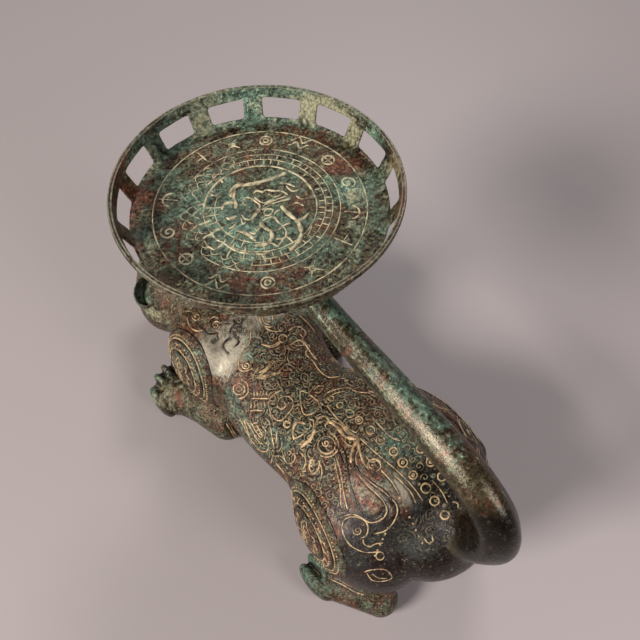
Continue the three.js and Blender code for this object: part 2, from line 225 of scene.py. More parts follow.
def round_form(name, at, radii, grow=0.0, segments=48):
    """Ellipsoid with its long axes along the frame."""
    shell = bmesh.new()
    bmesh.ops.create_uvsphere(shell, u_segments=segments, v_segments=segments // 2, radius=1)
    mesh = mesh_of(name, shell)
    mesh.transform(Matrix.Translation(in_frame(at)) @ Matrix.Diagonal([(r + grow) * mm for r in radii] + [1]))
    return add_object(name, mesh)


def on_side(line, side, tuck=0.0):
    """The line's points on the left (1) or mirrored to the right (-1), where they can be tucked in."""
    return [(row[0] * side + (tuck if side < 0 else 0), *row[1:]) for row in line]


def apply_modifiers(piece):
    """Keeps what the modifiers make as a plain mesh."""
    depsgraph = bpy.context.evaluated_depsgraph_get()
    finished = bpy.data.meshes.new_from_object(piece.evaluated_get(depsgraph))
    piece.modifiers.clear()
    piece.data = finished
    return piece


def melted(piece, voxel, rubs):
    """The piece's shells melted into one skin and smoothed, as a wax model is rubbed over."""
    melt = piece.modifiers.new("melt", "REMESH")
    melt.mode = "VOXEL"
    melt.voxel_size = voxel
    piece.modifiers.new("rub", "SMOOTH").iterations = rubs
    return apply_modifiers(piece)


def fused(name, parts, voxel, rubs):
    """The parts melted into one piece."""
    whole = bmesh.new()
    for part in parts:
        whole.from_mesh(part.data)
        bpy.data.objects.remove(part)
    return melted(add_object(name, mesh_of(name, whole)), voxel, rubs)


core_parts = [swept_form("trunk_form", trunk_line, grow=core_growth),
              swept_form("head_form", head_line, grow=core_growth)]
for side in (1, -1):
    for name, at, radii, tuck in (("shoulder_form", shoulder_at, shoulder_radii, 0),
                                  ("haunch_form", haunch_at, haunch_radii, right_haunch_tuck)):
        core_parts.append(round_form(name, on_side([at], side, tuck)[0], radii, core_growth))
core_parts.append(swept_form("tail_root_form", tail_root_line, grow=core_growth))
core = fused("core", core_parts, core_voxel, core_rubs)

body_parts = [core]
for side in (1, -1):
    for name, line, tuck in (("forearm_form", forearm_line, 0), ("foot_form", hind_foot_line, 0),
                             ("shank_form", shank_line, right_haunch_tuck)):
        body_parts.append(swept_form(name, on_side(line, side, tuck), steps=30))
    for paw, stepped_back in ((forearm_line[-1], 1.0), (hind_foot_line[-1], 0.2)):
        for offset, half_width, set_back in toe_rows:
            place = (paw[0] + offset, paw[1] - 10 + set_back * stepped_back, toe_height - 0.8)
            radii = (half_width, toe_reach, toe_height)
            body_parts.append(round_form("toe_form", on_side([place], side)[0], radii, segments=24))
    for name, at, radii in face_forms:
        body_parts.append(round_form(name, on_side([at], side)[0], radii, segments=24))
body_parts.append(round_form("nose_form", (0, -162, 89), (10, 8, 7), segments=24))
cast_body = fused("cast_body", body_parts, skin_voxel, skin_rubs)


# The bronze has a mottled patina: dark tin-rich metal under an olive film, verdigris with pale turquoise
# flakes, red copper oxide, bare worn metal on the high places and pale earth in the hollows. The worn metal is
# also painted highlight where light catches the body, the pale layer is also painted light on the tail, the
# near-black layer is soot in part and painted shade in part, and a last factor brightens whole pieces as
# painted light. Zones of each follow where the old casting was handled or lay in earth, and some follow where
# light or shade falls.
def wire(tree, kind, sockets=None, **settings):
    """One node with its settings, its sockets set to values or joined to other sockets."""
    node = tree.nodes.new(kind)
    for key, value in settings.items():
        setattr(node, key, value)
    for key, value in (sockets or {}).items():
        if isinstance(value, bpy.types.NodeSocket):
            tree.links.new(value, node.inputs[key])
        else:
            node.inputs[key].default_value = value
    return node


def mixed(tree, share, first, second):
    """Colour mixed from first to second, each a socket or a hexadecimal code."""
    first, second = (socket_linear(colour) if isinstance(colour, str) else colour for colour in (first, second))
    return wire(tree, "ShaderNodeMix", {0: share, 6: first, 7: second}, data_type="RGBA").outputs[2]


def stepped(tree, value, low, high, to_low=0.0, to_high=1.0):
    """A value spread over a range, with soft ends."""
    node = wire(tree, "ShaderNodeMapRange", {"Value": value, "From Min": low, "From Max": high,
                                             "To Min": to_low, "To Max": to_high})
    node.interpolation_type = "SMOOTHSTEP"
    return node.outputs["Result"]


def reckoned(tree, operation, first, second=0.0, third=0.0):
    """Result of one sum on sockets or numbers."""
    return wire(tree, "ShaderNodeMath", {0: first, 1: second, 2: third}, operation=operation).outputs[0]


def shader_group(name, inputs, outputs):
    """Node group with number inputs and typed outputs; returns it with both ends."""
    group = bpy.data.node_groups.new(name, "ShaderNodeTree")
    for label, value in inputs.items():
        group.interface.new_socket(label, in_out="INPUT", socket_type="NodeSocketFloat").default_value = value
    for label, kind in outputs.items():
        group.interface.new_socket(label, in_out="OUTPUT", socket_type=f"NodeSocket{kind}")
    return group, group.nodes.new("NodeGroupInput").outputs, group.nodes.new("NodeGroupOutput").inputs


def make_patina():
    """Layers of the patina, each laid over the ones before it where its own noise and its input let it."""
    group, given, result = shader_group(
        "bronze_patina",
        {"Verdigris": 0.5, "Rust": 0.4, "WearAndSheen": 0.2, "SootAndShade": 0.0, "Dust": 0.2, "Line": 0.0, "Pale": 0.0,
         "Even": 0.0, "Light": 1.0},
        {"Colour": "Color", "Roughness": "Float", "Metal": "Float", "Height": "Float"})
    place = wire(group, "ShaderNodeTexCoord").outputs["Object"]
    moved = wire(group, "ShaderNodeMapping", {"Vector": place, "Location": (3.1, 1.7, 0.4)}).outputs["Vector"]

    def noise(vector, scale, detail, roughness, warp=0.0):
        return wire(group, "ShaderNodeTexNoise", {"Vector": vector, "Scale": scale, "Detail": detail,
                                                  "Roughness": roughness, "Distortion": warp}).outputs["Fac"]

    def blend(*shares):
        """Sum of values, each times its share."""
        total = 0.0
        for value, share in shares:
            total = reckoned(group, "MULTIPLY_ADD", value, share, total)
        return total

    def laid(colour, share, coat):
        return mixed(group, share, colour, coat)

    broad = noise(place, 30, 5, 0.62, 0.5)
    blotch = noise(place, 115, 6, 0.62, 0.7)
    fine = noise(place, 400, 5, 0.7, 0.4)
    grit = noise(moved, 1000, 3, 0.65)
    rust_broad = noise(moved, 40, 5, 0.6, 0.5)
    rust_fine = noise(moved, 230, 6, 0.68, 0.5)

    metal_tone = stepped(group, blend((fine, 0.6), (blotch, 0.4)), 0.4, 0.64)
    colour = mixed(group, metal_tone, "#1a140d", "#6b5639")
    film_share = stepped(group, blend((blotch, 0.55), (broad, 0.25), (fine, 0.2)), 0.44, 0.58, 0, 0.7)
    film = mixed(group, stepped(group, fine, 0.38, 0.64), "#34311f", "#857b58")
    colour = laid(colour, film_share, film)

    colour = laid(colour, given["Even"], "#534a35")

    rust_level = blend((rust_broad, 0.45), (rust_fine, 0.55), (given["Rust"], 0.34))
    rust_share = stepped(group, rust_level, 0.56, 0.69, 0, 0.85)
    rust = mixed(group, stepped(group, fine, 0.36, 0.64), "#34180f", "#8a4829")
    colour = laid(colour, rust_share, rust)

    green_level = blend((broad, 0.3), (blotch, 0.36), (fine, 0.34), (given["Verdigris"], 0.34))
    green_share = stepped(group, green_level, 0.555, 0.69, 0, 0.84)
    green = mixed(group, stepped(group, rust_fine, 0.36, 0.64), "#2a392e", "#6f9079")
    colour = laid(colour, green_share, green)
    flake_level = blend((fine, 0.5), (blotch, 0.35), (grit, 0.15), (given["Verdigris"], 0.16))
    flakes = stepped(group, flake_level, 0.63, 0.67, 0, 0.85)
    colour = laid(colour, flakes, "#9cc4ab")

    # Pale earth; on the tail its zones are painted light on the lit side and the crest.
    pale_level = blend((blotch, 1.0), (rust_fine, 0.8), (given["Pale"], 1.0))
    pale_share = stepped(group, pale_level, 1.06, 1.46, 0, 0.88)
    pale = mixed(group, stepped(group, fine, 0.4, 0.62), "#84805f", "#b7ae8c")
    colour = laid(colour, pale_share, pale)

    # Pale worn metal, which is also painted highlight where its zones lie on the spots that catch the light.
    wear_and_sheen_share = stepped(group, blend((fine, 0.5), (blotch, 0.35), (given["WearAndSheen"], 1.0)), 0.58, 1.1, 0, 0.92)
    colour = laid(colour, wear_and_sheen_share, "#b3a792")
    # Near-black soot, which is also painted shade where its zones lie in shaded places and between the curls.
    soot_and_shade_share = stepped(group, blend((blotch, 0.35), (fine, 0.25), (given["SootAndShade"], 0.7)), 0.42, 0.72, 0, 0.93)
    colour = laid(colour, soot_and_shade_share, "#120b08")
    specks = stepped(group, blend((grit, 0.6), (fine, 0.4)), 0.4, 0.5, 0.5, 0.0)
    colour = laid(colour, specks, "#17120c")
    dust_level = blend((grit, 0.4), (fine, 0.6))
    dust_share = reckoned(group, "MULTIPLY", stepped(group, dust_level, 0.56, 0.62), given["Dust"])
    line_share = reckoned(group, "MULTIPLY", given["Line"], stepped(group, rust_fine, 0.38, 0.62, 0.1, 0.75))
    dust_share = reckoned(group, "MAXIMUM", dust_share, line_share)
    colour = laid(colour, dust_share, "#bfa983")
    # The whole colour is scaled by Light: painted light, brighter copies of the same patina for pieces that are
    # to look more lit.
    lit = wire(group, "ShaderNodeVectorMath", {0: colour, "Scale": given["Light"]}, operation="SCALE")
    group.links.new(lit.outputs["Vector"], result["Colour"])

    crust = reckoned(group, "MAXIMUM", green_share, reckoned(group, "MULTIPLY", rust_share, 0.7))
    rough = blend((crust, 0.2), (fine, 0.2), (grit, 0.06), (wear_and_sheen_share, 0.25), (dust_share, 0.12),
                  (pale_share, 0.2), (soot_and_shade_share, -0.05))
    group.links.new(reckoned(group, "ADD", rough, 0.16), result["Roughness"])
    metal = blend((crust, -0.42), (dust_share, -0.3), (wear_and_sheen_share, -0.06), (pale_share, -0.3))
    group.links.new(reckoned(group, "ADD", metal, 0.52), result["Metal"])
    height = blend((green_share, 0.3), (fine, 0.9), (grit, 0.25), (blotch, 0.7), (flakes, 0.2))
    bump_kept = reckoned(group, "ADD", 1.0, blend((wear_and_sheen_share, -0.75), (soot_and_shade_share, -0.45)))
    height = reckoned(group, "MULTIPLY", height, bump_kept)
    group.links.new(reckoned(group, "MULTIPLY_ADD", given["Line"], 0.9, height), result["Height"])
    return group


def make_scroll_ground():
    """Shallow curls packed side by side: Line is one on a raised line, and Hollow is one between two turns."""
    group, given, result = shader_group("scroll_ground", {"Amount": 1.0, "Pitch": 0.0029, "Density": 84.0},
                                        {"Line": "Float", "Hollow": "Float"})

    def vector(operation, first, second=(0.0, 0.0, 0.0), output="Vector"):
        return wire(group, "ShaderNodeVectorMath", {0: first, 1: second}, operation=operation).outputs[output]

    place = wire(group, "ShaderNodeTexCoord").outputs["Object"]
    sway = wire(group, "ShaderNodeTexNoise", {"Vector": place, "Scale": 90.0, "Detail": 2.0}).outputs["Color"]
    sway = vector("MULTIPLY", vector("SUBTRACT", sway, (0.5, 0.5, 0.5)), (0.006, 0.006, 0.006))
    swayed = vector("ADD", place, sway)
    cells = wire(group, "ShaderNodeTexVoronoi",
                 {"Vector": swayed, "Scale": given["Density"], "Randomness": 0.9})
    arm = vector("SUBTRACT", swayed, cells.outputs["Position"])
    outward = wire(group, "ShaderNodeNewGeometry").outputs["Normal"]
    first = vector("NORMALIZE", vector("CROSS_PRODUCT", outward, (0.0, 1.0, 0.0)))
    second = vector("CROSS_PRODUCT", outward, first)
    x = vector("DOT_PRODUCT", arm, first, "Value")
    y = vector("DOT_PRODUCT", arm, second, "Value")

    def sum_of(operation, *values):
        return reckoned(group, operation, *values)

    turn = sum_of("DIVIDE", sum_of("ARCTAN2", y, x), 2 * math.pi)
    reach = sum_of("SQRT", sum_of("MULTIPLY_ADD", x, x, sum_of("MULTIPLY", y, y)))
    phase = sum_of("FRACT", sum_of("ADD", sum_of("DIVIDE", reach, given["Pitch"]), sum_of("ADD", turn, 1.0)))
    away = sum_of("MULTIPLY", sum_of("ABSOLUTE", sum_of("SUBTRACT", phase, 0.5)), 2.0)
    line = stepped(group, away, 0.2, 0.5, 1.0, 0.0)
    hollow = stepped(group, away, 0.5, 0.95)
    patches = wire(group, "ShaderNodeTexNoise", {"Vector": place, "Scale": 150.0, "Detail": 3.0}).outputs["Fac"]
    kept = sum_of("MULTIPLY", stepped(group, patches, 0.42, 0.54), given["Amount"])
    group.links.new(sum_of("MULTIPLY", line, kept), result["Line"])
    group.links.new(sum_of("MULTIPLY", hollow, kept), result["Hollow"])
    return group


patina = make_patina()
scroll_ground = make_scroll_ground()


def bronze_finish(name, verdigris, rust, wear_and_sheen, dust, soot=0.0, zones=False, tint=None, tint_share=0.0,
                  bump=0.6, curls=0.0, even=0.0, light=1.0):
    """Patinated bronze. With zones, the piece's own attributes shift the patina from place to place. A tint
    covers its share of the patina in patches."""
    material = bpy.data.materials.new(name)
    material.use_nodes = True
    tree = material.node_tree
    shader = tree.nodes["Principled BSDF"]
    values = {"Verdigris": verdigris, "Rust": rust, "WearAndSheen": wear_and_sheen, "Dust": dust, "SootAndShade": soot, "Even": even,
              "Light": light}
    if zones:
        for socket, attribute in (("Verdigris", "green_zone"), ("Rust", "rust_zone"), ("WearAndSheen", "wear_and_sheen_zone"),
                                  ("SootAndShade", "soot_and_shade_zone"), ("Pale", "pale_zone")):
            found = wire(tree, "ShaderNodeAttribute", attribute_name=attribute).outputs["Fac"]
            values[socket] = reckoned(tree, "ADD", found, values.get(socket, 0.0))
    if curls:
        amount = wire(tree, "ShaderNodeAttribute", attribute_name="curl_zone").outputs["Fac"]
        # Curls are kept off the worn places, which are also painted highlight.
        rubbed = wire(tree, "ShaderNodeAttribute", attribute_name="wear_and_sheen_zone").outputs["Fac"]
        amount = reckoned(tree, "SUBTRACT", amount, reckoned(tree, "MULTIPLY", rubbed, 1.6))
        amount = reckoned(tree, "MAXIMUM", amount, 0.0)
        amount = reckoned(tree, "MULTIPLY", amount, curls)
        ground = wire(tree, "ShaderNodeGroup", {"Amount": amount}, node_tree=scroll_ground)
        values["Line"] = ground.outputs["Line"]
        # Between the turns of the curls the ground is made darker: painted shade.
        values["SootAndShade"] = reckoned(tree, "MULTIPLY_ADD", ground.outputs["Hollow"], 0.55, values["SootAndShade"])
    coat = wire(tree, "ShaderNodeGroup", values, node_tree=patina)
    colour, metal_share = coat.outputs["Colour"], 1.0
    if tint:
        place = wire(tree, "ShaderNodeTexCoord").outputs["Object"]
        patches = wire(tree, "ShaderNodeTexNoise",
                       {"Vector": place, "Scale": 160.0, "Detail": 4.0, "Roughness": 0.7})
        share = stepped(tree, patches.outputs["Fac"], 0.38, 0.58, tint_share * 0.2, tint_share)
        colour, metal_share = mixed(tree, share, colour, tint), 0.4
    tree.links.new(colour, shader.inputs["Base Color"])
    tree.links.new(coat.outputs["Roughness"], shader.inputs["Roughness"])
    tree.links.new(reckoned(tree, "MULTIPLY", coat.outputs["Metal"], metal_share), shader.inputs["Metallic"])
    relief = wire(tree, "ShaderNodeBump", {"Strength": bump, "Distance": mm, "Height": coat.outputs["Height"]})
    tree.links.new(relief.outputs["Normal"], shader.inputs["Normal"])
    return material


# Its colour is brightened a little as painted light.
body_bronze = bronze_finish("body_bronze", verdigris=0.19, rust=0.27, wear_and_sheen=0.0, dust=0.35, zones=True,
                            curls=0.9, bump=0.9, even=0.15, light=1.05)


def vertex_array(mesh, what="co"):
    """Rows of the vertices' places, or of their normals."""
    values = np.zeros(len(mesh.vertices) * 3)
    mesh.vertices.foreach_get(what, values)
    return values.reshape(-1, 3)


def set_values(mesh, name, values):
    """Stores a value for every point of the mesh."""
    layer = mesh.attributes.get(name) or mesh.attributes.new(name, "FLOAT", "POINT")
    layer.data.foreach_set("value", np.ascontiguousarray(values, np.float32))


def values_of(mesh, name):
    """Values that are stored for the points of the mesh."""
    values = np.zeros(len(mesh.vertices), np.float32)
    mesh.attributes[name].data.foreach_get("value", values)
    return values


def finish_piece(piece, material, *nodes):
    """Gives the piece its material, rides it on the casting and hides the CAD nodes that it stands for."""
    piece.data.materials.clear()
    piece.data.materials.append(material)
    piece.data.polygons.foreach_set("use_smooth", [True] * len(piece.data.polygons))
    piece.data.update()
    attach(piece, "root")
    if nodes:
        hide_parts(*nodes)


# Paws and muzzle: furrows chased between the toes, the slit of the mouth and the nostrils. Soles are filed
# flat, so the beast stands on its four paws.
furrow_deep, furrow_wide, furrow_top = 2.4, 2.1, 34
mouth_height, mouth_deep, mouth_wide, mouth_corner = 66, 5.6, 3.0, -118
nostril_at, nostril_deep, nostril_wide = (5, -169, 88.5), 2.8, 2.6
skin_places = vertex_array(cast_body.data)
skin_outward = vertex_array(cast_body.data, "normal")
beast_places = in_beast(skin_places)
furrow_depth = np.zeros(len(skin_places))
paws = [on_side([line[-1]], side)[0] for side in (1, -1) for line in (forearm_line, hind_foot_line)]
for paw in paws:
    outward = 1 if paw[0] > 0 else -1
    for gap in toe_gaps:
        toe_tip = np.array((paw[0] + outward * gap * 1.08, paw[1] - 30 + max(gap, 0) * 0.9))
        toe_root = np.array((paw[0] + outward * gap * 0.8, paw[1] + 2))
        run = toe_root - toe_tip
        share = np.clip(((beast_places[:, :2] - toe_tip) @ run) / (run @ run), 0, 1)
        distance = np.linalg.norm(beast_places[:, :2] - (toe_tip + share[:, None] * run), axis=1)
        depth = furrow_deep * np.exp(-(distance / furrow_wide) ** 2) * (1 - share ** 3)
        furrow_depth = np.where(beast_places[:, 2] < furrow_top, np.maximum(furrow_depth, depth), furrow_depth)
on_muzzle = np.clip((mouth_corner - beast_places[:, 1]) / 14, 0, 1)
mouth = mouth_deep * np.exp(-((beast_places[:, 2] - mouth_height) / mouth_wide) ** 2) * on_muzzle
furrow_depth = np.maximum(furrow_depth, mouth)
for side in (1, -1):
    from_nostril = np.linalg.norm(beast_places - np.array(on_side([nostril_at], side)[0]), axis=1)
    furrow_depth = np.maximum(furrow_depth, nostril_deep * np.exp(-(from_nostril / nostril_wide) ** 2))
skin_places -= skin_outward * (furrow_depth * mm)[:, None]
skin_places[:, 2] = np.maximum(skin_places[:, 2], 0.0)
cast_body.data.vertices.foreach_set("co", skin_places.ravel())
cast_body.data.update()
skin_tree = BVHTree.FromObject(cast_body, bpy.context.evaluated_depsgraph_get())


# Thread relief on the body: scrolls, rings, mane locks and wing lines that were laid on the wax as thin cords
# and cast with it. The black outlines are narrow cuts filled with old deposit. Each line is given as it is
# seen through the camera, dropped onto the skin, and repeated on the right flank.
def view_ray(pixel):
    """Direction in which the camera sees a pixel of the picture."""
    across = (pixel[0] - picture_width / 2) / focal_pixels
    upward = (picture_width / 2 - pixel[1]) / focal_pixels
    return camera_forward + camera_right * across + camera_up * upward


def seen_through(pixel):
    """Point and outward direction of the skin behind a pixel of the picture, or nothing."""
    point, normal, _, _ = skin_tree.ray_cast(camera_at, view_ray(pixel).normalized())
    return (np.array(point), np.array(normal)) if point else None


def through(*numbers):
    """Smooth line through picture points, given as x and y in turn, with a point about every pixel."""
    p = np.array(numbers, float).reshape(-1, 2)
    length = np.linalg.norm(np.diff(p, axis=0), axis=1).sum()
    return smooth_path(p, max(int(length), 4))


def ring(x, y, radius, start=0, end=360):
    """Round line about a picture point, or an arc of one, between turns in degrees."""
    turns = np.radians(np.linspace(start, end, max(int(abs(end - start) * radius / 57), 9)))
    return np.stack([x + radius * np.cos(turns), y + radius * np.sin(turns)], 1)


def spiral(x, y, inner, outer, start, turns):
    """Curl about a picture point, from its inner radius out."""
    count = max(int(abs(turns) * 3 * (inner + outer)), 12)
    share = np.linspace(0, 1, count)
    angle = np.radians(start) + share * turns * 2 * np.pi
    radius = inner + (outer - inner) * share
    return np.stack([x + radius * np.cos(angle), y + radius * np.sin(angle)], 1)


widest_gap, fewest_hits = 0.009, 4


def split_runs(hits):
    """Runs of neighbouring hits, as rows of a place and an outward direction, both evened out."""
    runs, run = [], []
    for hit in hits:
        if hit is None or (run and np.linalg.norm(hit[0] - run[-1][0]) > widest_gap):
            runs.append(run)
            run = []
        if hit is not None:
            run.append(hit)
    lines = []
    for run in runs + [run]:
        if len(run) < fewest_hits:
            continue
        places = np.array([hit[0] for hit in run])
        normals = np.array([hit[1] for hit in run])
        for _ in range(3):
            normals[1:-1] = normals[:-2] + normals[1:-1] * 2 + normals[2:]
            places[1:-1] = places[1:-1] * 0.6 + (places[:-2] + places[2:]) * 0.2
            normals /= np.linalg.norm(normals, axis=1)[:, None]
        lines.append(np.hstack([places, normals]))
    return lines


def laid_on_skin(strokes):
    """Picture lines as runs on the skin, each with its width. A stroke is a line, or a line and a width."""
    lines, widths = [], []
    for stroke in strokes:
        path, width = stroke if isinstance(stroke, tuple) else (stroke, 1.0)
        runs = split_runs([seen_through(pixel) for pixel in path])
        lines += runs
        widths += [width] * len(runs)
    return lines, widths


spine_at, spine_shift = [row[1] for row in trunk_line], [row[0] for row in trunk_line]
spine_margin, mark_room = 5, 0.003


def on_right_flank(lines, widths, taken):
    """The same lines on the other flank, left out wherever they would cross the spine or the lines there."""
    copies, copy_widths = [], []
    for line, width in zip(lines, widths):
        hits = []
        for point in line[:, :3]:
            beast = in_beast(point)
            spine = np.interp(beast[1], spine_at, spine_shift)
            beast[0] = 2 * spine - beast[0]
            near, normal, _, _ = skin_tree.find_nearest(Vector(in_frame(beast)))
            left_out = in_beast(near)[0] > spine - spine_margin or taken.find(near)[2] < mark_room
            hits.append(None if left_out else (np.array(near), np.array(normal)))
        runs = split_runs(hits)
        copies += runs
        copy_widths += [width] * len(runs)
    return copies, copy_widths


def line_mesh(name, lines, widths):
    """Edges along each line, with the width and the outward direction that the cord is swept at."""
    vertices, edges, sizes, outward = [], [], [], []
    for index, (line, width) in enumerate(zip(lines, widths)):
        first = len(vertices)
        vertices += [tuple(row[:3]) for row in line]
        outward += [tuple(row[3:]) for row in line]
        edges += [(first + k, first + k + 1) for k in range(len(line) - 1)]
        step = np.arange(len(line))
        taper = np.minimum(1, np.minimum(step, len(line) - 1 - step) / 3 + 0.4)
        hand_laid = 1 + 0.16 * np.sin(step * 0.42 + index * 1.7) + 0.1 * np.sin(step * 0.93 + index)
        sizes += list(taper * width * hand_laid)
    mesh = bpy.data.meshes.new(name)
    mesh.from_pydata(vertices, edges, [])
    set_values(mesh, "thickness", sizes)
    layer = mesh.attributes.new("outward", "FLOAT_VECTOR", "POINT")
    layer.data.foreach_set("vector", np.ravel(outward).astype(np.float32))
    return add_object(name, mesh)


def growing_tree(name, inputs):
    """Geometry tree that takes a mesh, the named inputs and a material; returns it with what it is given."""
    tree = bpy.data.node_groups.new(name, "GeometryNodeTree")
    tree.interface.new_socket("Geometry", in_out="INPUT", socket_type="NodeSocketGeometry")
    for label, kind, value in inputs:
        tree.interface.new_socket(label, in_out="INPUT", socket_type=f"NodeSocket{kind}").default_value = value
    tree.interface.new_socket("Material", in_out="INPUT", socket_type="NodeSocketMaterial")
    tree.interface.new_socket("Geometry", in_out="OUTPUT", socket_type="NodeSocketGeometry")
    return tree, tree.nodes.new("NodeGroupInput").outputs


def stored(tree, name, kind="FLOAT"):
    """Attribute that the points of the mesh hold."""
    return wire(tree, "GeometryNodeInputNamedAttribute", {"Name": name}, data_type=kind).outputs["Attribute"]


def give_out(tree, geometry, material):
    """Ends a geometry tree: what it grew is made real and gets its material."""
    made = wire(tree, "GeometryNodeRealizeInstances", {"Geometry": geometry}).outputs["Geometry"]
    coated = wire(tree, "GeometryNodeSetMaterial", {"Geometry": made, "Material": material}).outputs["Geometry"]
    tree.links.new(coated, tree.nodes.new("NodeGroupOutput").inputs["Geometry"])
    return tree


def make_cord_tree():
    """Sweeps a small flattened profile along every line: the wax cord that was laid on the model."""
    tree, given = growing_tree("laid_cord", (("Radius", "Float", 0.0007), ("Flatness", "Float", 0.6),
                                             ("Sides", "Int", 8)))
    path = wire(tree, "GeometryNodeMeshToCurve", {"Mesh": given["Geometry"]}).outputs["Curve"]
    upright = tree.nodes.new("GeometryNodeSetCurveNormal")
    upright.mode = "FREE"
    tree.links.new(path, upright.inputs["Curve"])
    tree.links.new(stored(tree, "outward", "FLOAT_VECTOR"), upright.inputs["Normal"])
    profile = wire(tree, "GeometryNodeCurvePrimitiveCircle",
                   {"Resolution": given["Sides"], "Radius": given["Radius"]})
    pressed = wire(tree, "ShaderNodeCombineXYZ", {"X": given["Flatness"], "Y": 1.0, "Z": 1.0}).outputs["Vector"]
    profile = wire(tree, "GeometryNodeTransform", {"Geometry": profile.outputs["Curve"], "Scale": pressed})
    swept = wire(tree, "GeometryNodeCurveToMesh",
                 {"Curve": upright.outputs["Curve"], "Scale": stored(tree, "thickness"), "Fill Caps": True,
                  "Profile Curve": profile.outputs["Geometry"]})
    return give_out(tree, swept.outputs["Mesh"], given["Material"])


def make_bead_tree():
    """Sets a small pellet on every point: the rolled wax grains of the beaded borders."""
    tree, given = growing_tree("set_pellets", (("Radius", "Float", 0.0008),))
    pellet = wire(tree, "GeometryNodeMeshIcoSphere", {"Radius": given["Radius"], "Subdivisions": 2})
    points = wire(tree, "GeometryNodeMeshToPoints", {"Mesh": given["Geometry"]})
    set_down = wire(tree, "GeometryNodeInstanceOnPoints",
                    {"Points": points.outputs["Points"], "Instance": pellet.outputs["Mesh"],
                     "Scale": stored(tree, "thickness")})
    return give_out(tree, set_down.outputs["Instances"], given["Material"])


cord_tree = make_cord_tree()
bead_tree = make_bead_tree()


def grown(piece, tree, **inputs):
    """Runs the geometry tree on the piece and keeps the result as a plain mesh."""
    modifier = piece.modifiers.new("grow", "NODES")
    modifier.node_group = tree
    for item in tree.interface.items_tree:
        if item.item_type == "SOCKET" and item.in_out == "INPUT" and item.name in inputs:
            modifier[item.identifier] = inputs[item.name]
    return apply_modifiers(piece)


def cords(name, lines, widths, radius, material, flatness=0.6):
    """One piece of cords, laid along the lines."""
    piece = line_mesh(name, lines, widths)
    finish_piece(grown(piece, cord_tree, Radius=radius, Flatness=flatness, Material=material), material)


def pellets(name, points, radius, material, sizes=None):
    """One piece of pellets, set on the points."""
    piece = mesh_piece(name, points, [])
    set_values(piece.data, "thickness", sizes if sizes is not None else np.ones(len(points)))
    finish_piece(grown(piece, bead_tree, Radius=radius, Material=material), material)


def point_tree(points):
    """Tree that finds the nearest of the points."""
    found = KDTree(len(points))
    for index, point in enumerate(points):
        found.insert(point, index)
    found.balance()
    return found


thread_bronze = bronze_finish("thread_bronze", verdigris=0.2, rust=0.3, wear_and_sheen=0.1, dust=0.2, tint="#deba8b",
                              tint_share=0.88, bump=0.5)
ground_bronze = bronze_finish("ground_bronze", verdigris=0.3, rust=0.3, wear_and_sheen=0.1, dust=0.3, tint="#b09972",
                              tint_share=0.75, bump=0.5)
outline_black = bronze_finish("outline_black", verdigris=0.1, rust=0.2, wear_and_sheen=0.0, dust=0.1, tint="#120f0b",
                              tint_share=0.95, bump=0.3)

neck_scrolls = [
    spiral(196.5, 316.5, 1, 5, 120, 1.2), through(187, 318, 190, 327, 197, 331, 203, 330),
    ring(269, 318, 4, 60, 400), ring(269, 318, 6.4, 80, 300), ring(269, 318, 9, 60, 290),
    through(251, 330, 250, 341, 246, 350, 240, 357, 238.6, 364, 240, 370, 246, 371, 253, 368),
    spiral(246.4, 365.5, 0.8, 5, 40, 1.6), ring(239, 389, 2.6), ring(239, 389, 5.8),
    ring(239, 389, 9.6, -80, 95), through(263, 326, 272, 331, 283, 331),
    through(261, 344, 271, 345.7, 281, 341),
    through(288.6, 331, 294, 327, 301, 327, 305.7, 333, 303, 337, 300, 334),
    through(295, 345.7, 310, 345.7, 305.7, 353, 313, 361, 320, 371, 328.6, 377, 340, 376.4),
    through(299, 315, 308.6, 324, 316, 334), ring(283, 338.6, 4.2), spiral(216, 325, 0.8, 4.5, 200, 1.4),
    through(208, 322, 213, 317, 220, 318),
]
